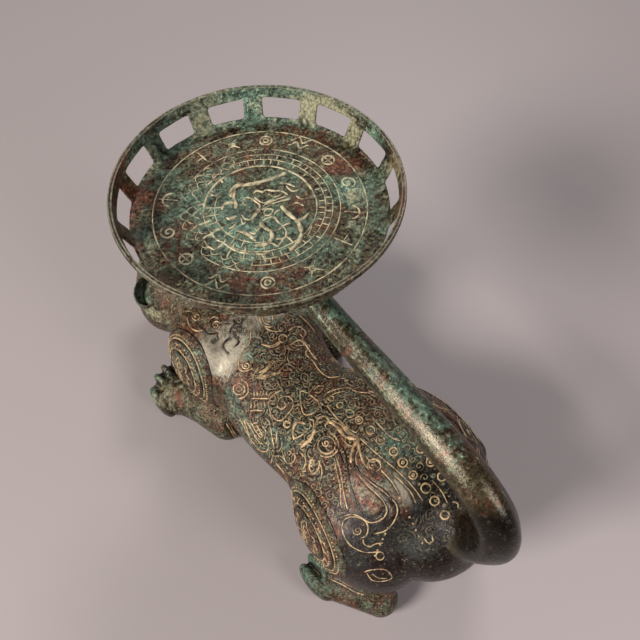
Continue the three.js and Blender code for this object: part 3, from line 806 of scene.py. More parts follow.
back_scrolls = [
    through(153, 381, 157, 385, 163, 390), through(309, 564, 314, 569, 320, 575),
    through(254, 380, 263, 373, 270, 367, 275, 361), through(258.6, 379, 268.6, 377, 281.4, 372),
    through(253, 381, 254, 374, 258.6, 367, 258, 363), through(251, 398.6, 260, 398.4, 269, 398.6),
    through(250, 410.7, 256, 410.2, 263, 410.7),
    through(283, 389, 271, 397, 269, 405.7, 273, 417, 280, 420.7, 288.6, 413, 293.6, 404, 291, 398, 284, 396,
            278, 401, 278, 407, 282, 409, 286, 405, 284, 402),
    through(308, 393, 301, 391, 301, 403, 304, 414, 311, 414, 318.6, 408.6, 318.6, 402, 313, 397, 309, 393,
            315, 386),
    through(315, 392, 319, 393, 324, 387), ring(286.9, 424.3, 3.4),
    through(298.6, 420, 294, 424, 293, 433, 294, 438, 301, 435.7, 308.6, 428.6),
    through(309, 421, 313.6, 431, 311, 440, 304, 444, 296, 444), ring(326.7, 445, 8.6),
    ring(326.7, 445, 12, -70, 125), spiral(326, 443, 0.8, 4.2, 90, 1.3),
    through(240, 418.6, 245.7, 430, 254, 444, 261, 451, 267, 451, 268.6, 443, 267, 437),
    through(244, 417, 251, 428.6, 260, 443, 264, 444), through(250, 420, 255, 430, 261, 438),
    through(270.7, 427, 272, 437, 274, 448.6, 271, 464), through(278, 427, 276.4, 437, 278, 448.6),
    through(285, 451, 284, 458.6, 288.6, 464, 294, 461, 295, 455.7, 291.4, 453, 288.6, 450),
    through(231, 427, 240, 441, 253, 455.7, 263, 467), through(226, 423, 235, 437, 246, 452),
    through(323, 398, 327, 393, 334, 390, 342, 388, 350, 388, 355, 391, 367, 392.5, 376, 390),
    through(325, 403, 329, 397, 336, 393, 345, 391), through(327, 405, 332, 412, 337, 418, 348, 428, 357, 433),
    through(314, 390, 318, 386, 325, 386),
    through(333, 422, 340, 424, 348, 433, 357, 436, 359, 440, 352, 446, 346, 443, 341, 436),
    through(262, 425, 266, 432, 264, 440), through(256, 424, 260, 431, 263, 437),
    through(300, 452, 306, 460, 303, 470), spiral(303, 474, 0.8, 3.8, 250, 1.2),
    through(268, 468, 276, 476, 281, 486), through(275, 462, 283, 472, 289, 484),
    spiral(311, 462, 0.8, 4.4, 20, 1.3), through(318, 460, 322, 470, 320, 482),
]
haunch_scrolls = [
    through(335.8, 455.8, 340.8, 473, 343.7, 493, 347.5, 510), through(334, 457, 337, 473, 340, 487, 341, 506),
    through(339, 518, 352, 514, 362, 518, 369.5, 522.5, 376, 522, 384, 517),
    through(360, 472, 369, 481, 380, 489, 391, 498, 396.5, 505, 397.3, 513, 393, 523, 385, 531, 373, 534),
    through(357, 473, 368, 486, 380, 497, 385, 504, 387, 511, 383.5, 518, 378, 522),
    through(341.7, 527, 344, 520, 351.7, 516.7, 360, 518, 366.7, 523, 368, 530, 365.8, 536, 361, 538),
    spiral(357.6, 530.6, 0.8, 5.2, 20, 1.5),
    through(341.7, 526.7, 343.7, 535, 350, 545, 358, 550, 366.7, 552.5, 380, 551.7), ring(380, 556, 4.2),
    through(363, 539, 364, 544, 370, 546.7, 375, 544, 383, 543),
    through(364, 572, 371, 570, 386, 570, 392, 578, 380, 581.5, 372, 580, 366, 572),
    through(372, 573.5, 378, 578, 387, 578.5), through(330, 579, 343, 585, 355, 592, 364, 595),
    through(372.5, 418, 381, 427, 391, 437, 400, 441),
    through(406.7, 423, 420, 438, 438, 457, 448, 468, 457, 480, 464, 495),
    through(360, 438, 375, 452, 393, 467, 407, 480, 417, 492, 423, 501),
    through(432, 480, 442, 492, 447.5, 503), through(393, 474, 404, 484, 412, 494, 416, 503),
    through(366, 456, 371, 462, 378, 461, 381, 467, 376, 472), through(381, 470, 392, 482, 399, 494),
    through(424, 538, 428, 543, 433, 541, 432, 536), spiral(372, 466, 0.8, 3.4, 180, 1.1),
]
ring_rows = [ring(x, y, r) for x, y, r in (
    (350, 413.3, 4.0), (359, 420, 3.8), (370.5, 430, 4.2), (380.5, 440, 4.3), (393.7, 451.7, 4.3),
    (403, 462.5, 4.6), (413.3, 475, 4.2), (426, 488.3, 4.9), (434.7, 501, 4.6), (445, 515, 4.4),
    (420.8, 448.8, 4.2), (430.8, 462, 4.4), (442, 476.7, 4.3), (340, 405, 3.2), (331.5, 398.5, 2.8),
    (359, 420, 1.7), (380.5, 440, 1.7), (403, 462.5, 1.7), (430.8, 462, 1.7), (413.3, 475, 1.7))]
black_cuts = [
    through(218.6, 311, 219, 318.6, 224, 323.6, 229, 323.6),
    through(233.6, 319, 235, 324, 231, 328.6, 230, 333),
    through(203, 328.6, 207, 333.6, 213, 334, 218, 333, 217, 336, 219, 339),
    through(230, 338, 226, 341, 223, 346, 226, 351, 229, 353.6),
    through(234, 347, 238.6, 343, 239, 339, 235.7, 335.7),
    through(238.6, 370, 231.4, 375.7, 228.6, 383, 231.4, 395.7, 237, 404, 243, 405.7),
    through(297, 315.7, 305.7, 324, 315.7, 333, 320.7, 341), ring(283, 338.6, 5.6, 20, 330),
    through(224, 421, 231, 435.7, 243, 451, 254, 463),
    through(339, 443, 345, 452, 348, 470, 350, 483, 355, 500, 360, 512, 367, 518.4, 373, 519.4, 380, 517,
            383, 512),
    through(356, 447, 355, 458, 358, 470, 372, 482, 387, 493, 393, 503), ring(326.7, 445, 7.2),
    through(337, 447, 340, 454, 344, 466),
]

saddle_ribbons = [
    (through(316, 423, 319, 418, 325, 416, 329, 420, 325, 426), 1.5),
    (through(329, 421, 338, 427, 345, 436, 358, 439), 2.3),
    (through(332, 420, 342, 425, 350, 432, 358, 438), 1.2),
    (through(359, 439, 354, 446, 351, 455, 351, 463), 1.8),
    (through(358, 440, 360, 452, 364, 463, 368, 468), 1.5),
    (through(367, 467, 369, 461, 375, 459, 381, 462), 1.2),
    (through(316, 422, 314, 432, 308, 441, 300, 448), 2.0),
    (through(294, 440, 293, 430, 298, 422, 306, 424), 1.5), (through(244, 420, 248, 432, 252, 444), 1.5),
    (through(259, 373, 267, 368, 273, 360), 1.6), (through(256, 378, 268, 375, 281, 372), 1.6),
    (through(303, 340, 310, 351, 317, 360), 1.4), (through(262, 344, 272, 347, 283, 341), 1.2),
    (through(290, 345, 300, 340, 306, 346), 1.2),
    (through(313, 458, 309, 466, 313, 474, 318, 470, 320, 460), 1.1),
    (through(357, 469, 356, 455, 360, 447), 0.9),
]
ladder_bars = [through(x, 391, x + 0.4, 396) for x in (254, 257.2, 260.4, 263.6, 266.8)]
ladder_bars += [through(x, 402, x + 0.4, 408) for x in (251, 254.4, 257.8, 261.2, 264.6, 268)]
ladder_bars += [through(252 + k * 2.2, 424 + k * 3.4, 257 + k * 1.6, 422 + k * 3.4) for k in range(5)]
# Rows of pellets, as the first picture point, the step to the next one and their number.
pebble_rows = ((329, 462, 1.3, 4.2, 7), (334, 463.5, 1.3, 4.2, 7), (339, 465, 1.3, 4.2, 7),
               (318, 474, 0.9, 4.6, 6), (388, 528, -2.6, 5.5, 6), (400, 498, 3.2, 6.4, 8),
               (236, 330, 2.1, 4.8, 5))
pebbles = [(x + k * right, y + k * down) for x, y, right, down, count in pebble_rows for k in range(count)]


def inside(x, y, corners):
    """Whether a picture point lies within an outline."""
    crossings = 0
    for (ax, ay), (bx, by) in zip(corners, corners[1:] + corners[:1]):
        if (ay > y) != (by > y) and x < ax + (bx - ax) * (y - ay) / (by - ay):
            crossings += 1
    return crossings % 2 == 1


def filling_curls(field, spacing, strokes, largest):
    """Small curls and hooks on a staggered grid, each as large as the room that the strokes leave."""
    drawn = np.vstack([stroke[0] if isinstance(stroke, tuple) else stroke for stroke in strokes])
    (left, top), (right, bottom) = np.min(field, axis=0), np.max(field, axis=0)
    curls, order = [], 0
    for row, y in enumerate(np.arange(top, bottom, spacing * 0.87)):
        for x in np.arange(left + row % 2 * spacing / 2, right, spacing):
            order += 1
            at = (x + 1.1 * math.sin(order * 2.3), y + 1.1 * math.sin(order * 3.7))
            if not inside(*at, field):
                continue
            room = min(np.linalg.norm(drawn - at, axis=1).min() - 1.1, largest)
            facing = order * 137.5 % 360
            if room > 2.2:
                curls.append((spiral(*at, 0.6, room, facing, (1.35, -1.2, 1.6)[order % 3]), 0.85))
            elif room > 1.1:
                curls.append((ring(*at, room, facing, facing + 230), 0.8))
    return curls


scroll_field = [
    (172, 314), (200, 312), (262, 312), (322, 314), (352, 345), (392, 400), (432, 452), (456, 498), (444, 512),
    (424, 500), (384, 462), (352, 452), (356, 480), (338, 520), (318, 512), (292, 482), (262, 456), (236, 424),
    (228, 392), (246, 366), (262, 340), (240, 334), (222, 344), (186, 334)]
drawn_strokes = [*neck_scrolls, *back_scrolls, *haunch_scrolls, *ring_rows, *black_cuts, *saddle_ribbons,
                 *ladder_bars]
small_curls = filling_curls(scroll_field, 10.5, drawn_strokes, 5.4)
small_curls += filling_curls(scroll_field, 6.4, drawn_strokes + small_curls, 2.7)
cord_radius, cord_lift = 0.00064, -0.00005
cut_radius, cut_lift = 0.00074, -0.00008
relief_rows = [
    ("neck_scrolls", neck_scrolls, cord_radius, cord_lift, thread_bronze),
    ("back_scrolls", back_scrolls, cord_radius, cord_lift, thread_bronze),
    ("haunch_scrolls", haunch_scrolls, cord_radius * 0.72, cord_lift, thread_bronze),
    ("saddle_ribbons", saddle_ribbons, cord_radius, cord_lift, thread_bronze),
    ("ladder_bars", ladder_bars, cord_radius, cord_lift, thread_bronze),
    ("back_rings", ring_rows, cord_radius, cord_lift, thread_bronze),
    ("small_curls", small_curls, cord_radius * 0.9, cord_lift - 0.00012, ground_bronze),
    ("black_outlines", black_cuts, cut_radius, cut_lift, outline_black),
]
placed = [laid_on_skin(strokes) for _, strokes, _, _, _ in relief_rows]
left_points = [row[:3] for lines, _ in placed for line in lines for row in line]
left_tree = point_tree(left_points)
mark_points = list(left_points)
for (name, _, radius, lift, material), (lines, widths) in zip(relief_rows, placed):
    copies, copy_widths = on_right_flank(lines, widths, left_tree)
    mark_points += [row[:3] for line in copies for row in line]
    lifted = [np.hstack([line[:, :3] + line[:, 3:] * lift, line[:, 3:]]) for line in lines + copies]
    cords(name, lifted, widths + copy_widths, radius, material)
found_pebbles = [seen_through(pixel) for pixel in pebbles]
pellets("pebble_rows", [hit[0] for hit in found_pebbles if hit], 0.0008, thread_bronze)


# Patina zones, some of them painted highlight and painted shade, given as picture points on the skin or as
# places in the beast's frame, with reach in millimetres and strength. Twins stand in the same places of the
# other flank.
def paint_zones(piece, zones, twins=True):
    """Writes each zone as a value on the piece's points, the sum of its spots."""
    beast = in_beast(vertex_array(piece.data))
    for name, spots in zones.items():
        values = np.zeros(len(beast))
        for at, reach, strength in spots:
            centre = np.array(at, float) if len(at) == 3 else in_beast(seen_through(at)[0])
            for twin in {tuple(centre), (-centre[0] if twins else centre[0], centre[1], centre[2])}:
                distance = np.linalg.norm(beast - np.array(twin), axis=1)
                values += strength * np.exp(-(distance / reach) ** 2)
        set_values(piece.data, name, values)


paint_zones(cast_body, {
    "green_zone": [
        ((150, 310), 16, 0.17), ((240, 335), 14, 0.22), ((265, 362), 16, 0.1), ((275, 402), 24, 0.19),
        ((232, 402), 14, 0.19), ((246, 430), 16, 0.22), ((280, 442), 20, 0.25), ((304, 430), 14, 0.22),
        ((345, 408), 20, 0.11), ((400, 440), 20, 0.19), ((422, 500), 14, 0.17), ((395, 540), 12, 0.3),
        ((352, 560), 10, 0.3), ((420, 545), 10, 0.3), ((372, 528), 8, 0.2), ((96, -50, 12), 20, 0.06),
        ((84, 165, 12), 26, 0.3), ((96, -50, 12), 18, 0.35), ((216, 372), 9, 0.25), ((243, 352), 8, 0.3),
        ((0, 240, 40), 40, 0.06),
    ],
    "rust_zone": [
        ((361, 500), 20, 0.18), ((352, 525), 16, 0.22), ((430, 500), 16, 0.2), ((392, 548), 18, 0.3),
        ((372, 572), 12, 0.3), ((410, 520), 14, 0.25), ((300, 400), 12, 0.25), ((255, 440), 10, 0.2),
        ((190, 322), 14, 0.17), ((300, 336), 20, 0.45), ((239, 389), 13, 0.5), ((264, 378), 18, 0.45),
        ((285, 400), 12, 0.3), ((258, 405), 14, 0.22), ((320, 472), 18, 0.55), ((345, 428), 16, 0.5),
        ((366, 442), 16, 0.4), ((322, 392), 14, 0.3), ((310, 480), 10, 0.17), ((385, 530), 16, 0.22),
        ((350, 545), 14, 0.19), ((176, 398), 9, 0.5), ((84, -40, 12), 26, -0.4), ((64, 8, 24), 24, -0.12),
        ((62, 205, 22), 14, 0.22), ((0, 150, 40), 50, 0.11),
    ],
    # Bare worn metal on the neck, haunch and back, set where the light catches them: worn and painted
    # highlight.
    "wear_and_sheen_zone": [
        ((223, 366), 17, 0.4), ((214, 350), 13, 0.45), ((228, 343), 15, 0.5), ((208, 338), 9, 0.4),
        ((252, 322), 13, 0.6), ((236, 320), 10, 0.3), ((361, 500), 15, 0.16), ((352, 482), 9, 0.12),
        ((405, 484), 12, 0.5), ((418, 498), 9, 0.5), ((388, 520), 8, 0.25), ((240, 350), 10, 0.3),
        ((375, 490), 16, 0.12), ((10, -150, 95), 14, 0.3), ((0, 190, 138), 20, 0.1),
    ],
    "pale_zone": [
        ((86, -36, 20), 24, 0.36), ((78, 172, 20), 12, 0.2), ((62, 10, 26), 22, 0.25), ((206, 318), 12, 0.2),
        ((163, 318), 12, 0.25), ((200, 322), 14, 0.12), ((260, 436), 14, 0.2), ((150, 312), 12, 0.3),
        ((300, 340), 10, 0.2), ((345, 430), 10, 0.25), ((260, 372), 10, 0.2),
    ],
    # Darker under the belly, on the rump, the low haunch and round the tail root: painted shade. Small dark
    # spots on the neck.
    "soot_and_shade_zone": [
        ((425, 567), 34, 1.2), ((375, 562), 26, 0.62), ((400, 580), 28, 0.8), ((450, 530), 22, 0.55),
        ((365, 585), 20, 0.4), ((352, 525), 18, 0.25), ((440, 480), 14, 0.2), ((215, 349), 6, 0.35),
        ((241, 325), 6, 0.4), ((233, 338), 5, 0.3), ((340, 590), 12, 0.3), ((330, 475), 10, 0.2),
        ((0, 100, 20), 60, 0.4), ((0, -20, 30), 50, 0.4),
    ],
    "curl_zone": [
        ((250, 345), 18, 0.5), ((272, 392), 26, 1.0), ((296, 425), 26, 1.0), ((252, 432), 22, 0.9),
        ((330, 418), 26, 0.9), ((318, 470), 18, 0.9), ((285, 460), 20, 0.9), ((372, 450), 18, 0.5),
        ((182, 318), 16, 0.9), ((292, 330), 18, 0.9), ((420, 520), 20, 0.4), ((0, -90, 110), 34, 0.7),
        ((40, -60, 90), 18, 0.7),
    ],
})

# Painted shade: the skin is darker beside the cords, as the shade that they cast, and darker in the furrows.
cord_shade_from, cord_shade_reach, cord_shade_strength = 0.0004, 0.0024, 0.42
mark_tree = point_tree(mark_points)
near = np.array([mark_tree.find(v.co)[2] for v in cast_body.data.vertices])
cord_shade = np.clip(1 - (near - cord_shade_from) / cord_shade_reach, 0, 1) * cord_shade_strength
in_furrows = np.clip(furrow_depth - furrow_deep / 2, 0, 1) * 0.6
set_values(cast_body.data, "soot_and_shade_zone", values_of(cast_body.data, "soot_and_shade_zone") + cord_shade + in_furrows)
finish_piece(cast_body, body_bronze, "trunk", "head", "foreleg_left", "foreleg_right",
             "hind_leg_left", "hind_leg_right")


# Raised oval shields on the shoulders and haunches, cast with the body. Each is a low stepped dome bordered by
# cords, a beaded band and black cuts, round a pair of curls.
both_sides = (("left", 1), ("right", -1))
shields = {
    "shoulder_shield": dict(at=shoulder_at, along=33, across=39, ahead=-3, facing=(0.86, -0.16, 0.42), tuck=0),
    "haunch_shield": dict(at=haunch_at, along=41, across=33, ahead=8, facing=(0.9, -0.2, 0.33),
                          tuck=right_haunch_tuck),
}
# Its worn level lays pale spots that are partly worn metal and partly painted highlight on the shields.
shield_bronze = bronze_finish("shield_bronze", verdigris=0.24, rust=0.3, wear_and_sheen=0.16, dust=0.4, soot=0.12,
                              bump=0.9)
shield_profile = [(0.0, 1.7), (0.3, 1.7), (0.44, 1.5), (0.49, 0.75), (0.52, 1.15), (0.68, 1.05), (0.72, 0.35),
                  (0.76, 0.85), (0.9, 0.6), (0.96, 0.1), (1.0, -0.1)]
curl_size, curl_turns = 0.19, 2.1
lick_turns, hook_turns = (20, 75, 130, 165, 200, 255, 310, 345), range(8, 360, 24)
cut_rows, bead_rows = ((0.975, 0.0), (0.715, 0.0002), (0.48, 0.0002)), ((0.845, 5), (0.66, 8))


def shield_axes(shield, side):
    """Directions along and across the shield, and the one that it faces."""
    facing = np.array(on_side([shield["facing"]], side)[0])
    facing /= np.linalg.norm(facing)
    upright = np.array((0, 0, 1.0)) - facing * facing[2]
    upright /= np.linalg.norm(upright)
    return np.cross(facing, upright), upright, facing


def on_shield(shield, side, reach, turn, lift=0.0):
    """Point on the shield's dome, and its outward direction, at a share of its size and a turn in degrees."""
    along, upright, facing = shield_axes(shield, side)
    centre = np.array(on_side([shield["at"]], side, shield["tuck"])[0]) + along * shield["ahead"] * side
    angle = math.radians(turn)
    start = (centre + along * shield["along"] * reach * math.cos(angle)
             + upright * shield["across"] * reach * math.sin(angle) + facing * 90)
    point, normal, _, _ = skin_tree.ray_cast(Vector(in_frame(start)), Vector(-facing))
    if point is None:
        point, normal, _, _ = skin_tree.find_nearest(Vector(in_frame(start - facing * 60)))
    rise = np.interp(reach, *zip(*shield_profile))
    return np.array(point) + np.array(normal) * (rise * mm + lift), np.array(normal)


def shield_line(shield, side, places, lift=0.0):
    """Line on the dome through places given as a share of its size and a turn in degrees."""
    return split_runs([on_shield(shield, side, reach, turn, lift) for reach, turn in places])


def shield_oval(shield, side, reach, lift=0.0):
    """Oval line round the dome, at a share of its size."""
    return shield_line(shield, side, [(reach, turn) for turn in range(0, 363, 3)], lift)


def shield_curl(shield, side, offset, way):
    """Curl about a point of the shield's upright middle line."""
    places = []
    for share in np.linspace(0.08, 1, 34):
        angle = way * share * curl_turns * 2 * math.pi
        x, y = curl_size * share * math.cos(angle), offset + curl_size * share * math.sin(angle)
        places.append((math.hypot(x, y), math.degrees(math.atan2(y, x))))
    return shield_line(shield, side, places)


for shield_name, shield in shields.items():
    for word, side in both_sides:
        reaches = np.linspace(0.02, 1.0, 42)
        turns = np.arange(0, 360, 3)
        dome = [on_shield(shield, side, reach, turn)[0] for reach in reaches for turn in turns]
        skirt = [on_shield(shield, side, 1.0, turn, -0.0015)[0] for turn in turns]
        poles = [on_shield(shield, side, 0.0, 0, lift)[0] for lift in (0.0, -0.004)]
        vertices = dome + skirt + poles
        count, rim = len(turns), len(dome)
        faces = []
        for i in range(count):
            j = (i + 1) % count
            faces += [(len(vertices) - 2, i, j), (len(vertices) - 1, rim + j, rim + i)]
            faces += [(k + i, k + count + i, k + count + j, k + j) for k in range(0, rim, count)]
        plate = mesh_piece(f"{shield_name}_{word}_dome", vertices, faces)
        turned_out = bmesh.new()
        turned_out.from_mesh(plate.data)
        bmesh.ops.recalc_face_normals(turned_out, faces=turned_out.faces)
        turned_out.to_mesh(plate.data)
        turned_out.free()
        finish_piece(plate, shield_bronze, f"{shield_name}_{word}")
        threads = shield_oval(shield, side, 0.775) + shield_oval(shield, side, 0.55)
        threads += shield_curl(shield, side, 0.17, 1) + shield_curl(shield, side, -0.17, -1)
        widths = [0.9] * len(threads)
        for turn in lick_turns:
            lick = [(0.33 + 0.06 * math.cos(k * 0.5), turn + k * 3.0) for k in range(-5, 6)]
            threads += shield_line(shield, side, lick)
        for turn in hook_turns:
            hook = [(0.6 + 0.05 * math.sin(k * 0.55), turn + k * 1.6) for k in range(-5, 6)]
            threads += shield_line(shield, side, hook)
        widths += [0.8] * (len(threads) - len(widths))
        cords(f"{shield_name}_{word}_cords", threads, widths, 0.00056, thread_bronze)
        cuts = [line for reach, lift in cut_rows for line in shield_oval(shield, side, reach, lift)]
        cords(f"{shield_name}_{word}_cuts", cuts, [1.0] * len(cuts), 0.0010, outline_black)
        beads = [on_shield(shield, side, reach, turn)[0] for reach, step in bead_rows
                 for turn in np.arange(0, 360, step)]
        sizes = 0.8 + 0.35 * np.random.default_rng(3).random(len(beads))
        pellets(f"{shield_name}_{word}_beads", beads, 0.00068, thread_bronze, sizes)


# Ears: two cupped lobes, open upwards and outwards, brazed to the sides of the crown. The hollow of each was
# cut while the wax was soft, so its edge is rounded.
ear_at, ear_radii = (52, -80, 106), (17, 12, 20)
ear_hollow_at, ear_hollow_radii = (56, -77, 115), (13.5, 9.5, 17)
# Their colour is brightened as painted light.
ear_bronze = bronze_finish("ear_bronze", verdigris=0.26, rust=0.2, wear_and_sheen=0.0, dust=0.35, zones=True, light=1.1)


def pierced(piece, cutter, voxel, rubs):
    """The piece with the cutter's form taken out of it, and its edges softened."""
    cut = piece.modifiers.new("cut", "BOOLEAN")
    cut.operation = "DIFFERENCE"
    cut.object = cutter
    melted(piece, voxel, rubs)
    bpy.data.objects.remove(cutter)


for word, side in both_sides:
    lobe = round_form(f"ear_{word}_cup", on_side([ear_at], side)[0], ear_radii)
    hollow = round_form("ear_hollow", on_side([ear_hollow_at], side)[0], ear_hollow_radii)
    pierced(lobe, hollow, 0.0009, 4)
    # Painted shade in the hollow of the cup.
    paint_zones(lobe, {"soot_and_shade_zone": [((56, -76, 114), 13, 0.9)]})
    finish_piece(lobe, ear_bronze, f"ear_{word}")


# Tail: one heavy casting with a soft crest, thick at the rump, bent up over the back and on to the tray. Each
# row holds a centre, its climb from the rump to the tray as a share, and the half width and half height.
tray_height, tray_shift = 230, -16
tail_root_height = 92
tail_rows = (
    (0, 194, 0.02, 28, 28), (0, 221, 0.06, 24, 22), (0, 244, 0.165, 19.5, 18.5), (0, 254, 0.33, 16.5, 16.5),
    (-1, 248, 0.49, 15, 15), (-2, 221, 0.63, 14, 14), (-5, 155, 0.688, 12.4, 12.4),
    (-10, 85, 0.696, 11.2, 11.2), (-15, 32, 0.732, 10.4, 10.4), (tray_shift, 3, 0.855, 10, 10),
    (tray_shift, 0, 0.968, 10, 10))
tail_line = [(x, y, tail_root_height + climb * (tray_height - tail_root_height), half, tall)
             for x, y, climb, half, tall in tail_rows]
tail_bronze = bronze_finish("tail_bronze", verdigris=0.17, rust=0.14, wear_and_sheen=0.0, dust=0.12, zones=True,
                            bump=0.3, even=0.45)
tail_sides = 96
tail = swept_form("tail_casting", tail_line, steps=240, sides=tail_sides, crest=0.045, grow=-0.9, flat_end=True)
paint_zones(tail, {
    "green_zone": [
        ((-26, 90, 190), 14, 0.55), ((-22, 140, 188), 12, 0.5), ((-30, 50, 196), 16, 0.5),
        ((-24, 10, 205), 20, 0.3), ((-20, 190, 176), 12, 0.35), ((-20, 245, 150), 14, 0.45),
        ((8, 0, 215), 14, 0.25), ((-27, 115, 184), 9, 0.5), ((-28, 70, 190), 9, 0.5),
    ],
    "rust_zone": [
        ((-8, 205, 180), 14, 0.3), ((-2, 240, 120), 24, 0.1), ((-12, 150, 192), 14, 0.3),
        ((-4, 225, 165), 10, 0.3),
    ],
    # Pale on the tail's lit side: painted light.
    "pale_zone": [
        ((-22, 60, 200), 14, 0.45), ((-22, 110, 196), 13, 0.4), ((-16, 20, 208), 14, 0.35),
        ((-18, 160, 190), 10, 0.3),
    ],
    "wear_and_sheen_zone": [((4, 170, 196), 12, 0.12), ((0, 110, 198), 12, 0.1), ((10, 212, 100), 14, 0.4)],
    # Darker at the bend and down the tail's left flank: painted shade.
    "soot_and_shade_zone": [
        ((0, 268, 130), 36, 0.85), ((4, 250, 158), 24, 0.55), ((12, 240, 150), 24, 0.35),
        ((16, 130, 180), 16, 0.4), ((16, 60, 182), 18, 0.35), ((16, 200, 170), 16, 0.3),
        ((-4, 225, 150), 20, 0.3),
    ],
}, twins=False)
# Streaks run along the tail over the back: a pale one at a side of its section, as painted highlight on the
# crest, then a dark one as painted shade and a verdigris one, away from it on both hands.
streak_side, streak_end, streak_fade = 9, 225, 20
from_streak = np.abs(np.arange(len(tail.data.vertices)) % tail_sides - streak_side)
over_back = np.clip((streak_end - in_beast(vertex_array(tail.data))[:, 1]) / streak_fade, 0, 1)
for name, offset, width, strength in (("pale_zone", 0, 1.1, 0.36), ("soot_and_shade_zone", 5, 2.6, 0.35),
                                      ("green_zone", 17, 6.0, 0.22)):
    streak = strength * over_back * np.exp(-((from_streak - offset) / width) ** 2)
    set_values(tail.data, name, values_of(tail.data, name) + streak)
finish_piece(tail, tail_bronze, "tail")


# Socket: a flared collar that was run round the tip of the tail to hold the tray. It and the tray are turned
# forms about one upright axis.
socket_profile = [(0.0, -17), (9.0, -17), (13.0, -14.2), (14.6, -12.6), (15.4, -10.5), (16.4, -8.0),
                  (18.8, -6.0), (22.2, -4.6), (24.0, -3.9), (24.0, -3.7), (0.0, -3.7)]


def turned_piece(name, profile, segments):
    """Closed ring or disc turned about the tray's upright axis, from a profile of radius and height."""
    vertices, faces, columns = [], [], []
    for k in range(segments):
        angle = 2 * math.pi * k / segments
        column = []
        for index, (radius, height) in enumerate(profile):
            if radius == 0 and k:
                column.append(columns[0][index])
                continue
            x, y = radius * math.cos(angle), radius * math.sin(angle)
            vertices.append((tray_shift + x, y, tray_height + height))
            column.append(len(vertices) - 1)
        columns.append(column)
    closed = profile[0][0] != 0
    for k in range(segments):
        first, second = columns[k], columns[(k + 1) % segments]
        for a in range(len(profile) if closed else len(profile) - 1):
            b = (a + 1) % len(profile)
            face = list(dict.fromkeys((first[a], second[a], second[b], first[b])))
            if len(face) > 2:
                faces.append(face)
    return mesh_piece(name, in_frame(vertices), faces)


socket_bronze = bronze_finish("socket_bronze", verdigris=0.35, rust=0.25, wear_and_sheen=0.0, dust=0.3)
finish_piece(turned_piece("tail_collar", socket_profile, 72), socket_bronze, "tail_socket")


# Tray floor: a round plate with raised rings, a band of fourteen marks, a ring of small cells and a coiled
# medallion, all cast with it. The marks are plain signs of rings, crosses and curls.
floor_radius, ring_width, floor_depth, floor_face = 81, 7.4, 3.6, 0.06
floor_profile = [(0.0, -floor_depth), (floor_radius - 4.7, -floor_depth), (floor_radius - 4.6, -1.9),
                 (floor_radius + 0.1, -1.8), (floor_radius + 2.6, -0.25), (floor_radius + 1.6, 0.02),
                 (floor_radius - 1, floor_face)]
floor_profile += [(radius, floor_face) for radius in np.linspace(floor_radius - 4, 4, 30)] + [(0.0, floor_face)]
# Its colour is brightened as painted light.
tray_bronze = bronze_finish("tray_bronze", verdigris=0.28, rust=0.21, wear_and_sheen=0.06, dust=0.45, zones=True,
                            bump=1.0, light=1.25)
inlay_bronze = bronze_finish("inlay_bronze", verdigris=0.25, rust=0.25, wear_and_sheen=0.1, dust=0.2, tint="#e0d0a8",
                             tint_share=0.9, bump=0.4)
tray_floor = turned_piece("tray_plate", floor_profile, 160)
tray_centre = in_frame((tray_shift, 0, tray_height + floor_face))
line_height = 0.12 * mm


def on_plate(pixel):
    """Point of the tray floor behind a pixel of the picture."""
    ray = view_ray(pixel)
    return np.array(camera_at + ray * ((tray_centre[2] - camera_at.z) / ray.z))


def facing_up(points):
    """Line as rows of a place and the upward direction."""
    return np.hstack([points, np.tile((0.0, 0.0, 1.0), (len(points), 1))])


def plate_row(points):
    """Line that lies on the plate."""
    return facing_up(np.asarray(points, float) + np.array((0, 0, line_height)))


def plate_place(radius, angle):
    """Point of the plate at a radius in millimetres and an angle in radians."""
    return tray_centre + np.array((math.cos(angle), math.sin(angle), 0)) * radius * mm


def plate_circle(radius, start, end):
    """Round line of the plate between two turns in degrees."""
    return plate_row([plate_place(radius, angle) for angle in np.radians(np.arange(start, end + 2, 2))])


def plate_spoke(turn, inner, outer, steps):
    """Straight line of the plate at a turn in degrees."""
    return plate_row([plate_place(radius, math.radians(turn)) for radius in np.linspace(inner, outer, steps)])


def plate_zones(spots):
    """Patina spots of the plate, given as picture points."""
    return [(tuple(in_beast(on_plate(at))), reach, strength) for at, reach, strength in spots]


paint_zones(tray_floor, {
    "green_zone": plate_zones([
        ((240, 205), 26, 0.18), ((190, 205), 22, 0.15), ((235, 245), 24, 0.21), ((280, 245), 18, 0.18),
        ((352, 192), 12, 0.55), ((215, 180), 14, 0.12), ((325, 250), 12, 0.12),
    ]),
    "rust_zone": plate_zones([
        ((345, 165), 12, 0.55), ((302, 130), 14, 0.4), ((366, 200), 9, 0.4), ((200, 160), 16, 0.24),
        ((270, 283), 22, 0.27), ((215, 275), 16, 0.18), ((180, 235), 12, 0.27), ((298, 200), 12, 0.3),
        ((230, 155), 12, 0.18),
    ]),
    "pale_zone": plate_zones([
        ((354, 196), 9, 0.5), ((362, 170), 9, 0.35), ((345, 258), 14, 0.25), ((150, 250), 12, 0.25),
        ((200, 155), 14, 0.15), ((320, 132), 14, 0.2), ((268, 125), 14, 0.2), ((360, 225), 12, 0.25),
        ((175, 195), 14, 0.15), ((250, 225), 12, 0.12),
    ]),
    "soot_and_shade_zone": plate_zones([
        ((240, 292), 22, 0.2), ((200, 190), 20, 0.15), ((235, 212), 12, 0.25), ((320, 215), 20, 0.2),
        ((270, 215), 40, 0.2), ((160, 240), 16, 0.25), ((300, 270), 26, 0.2),
    ]),
}, twins=False)
finish_piece(tray_floor, tray_bronze, "tray_floor")


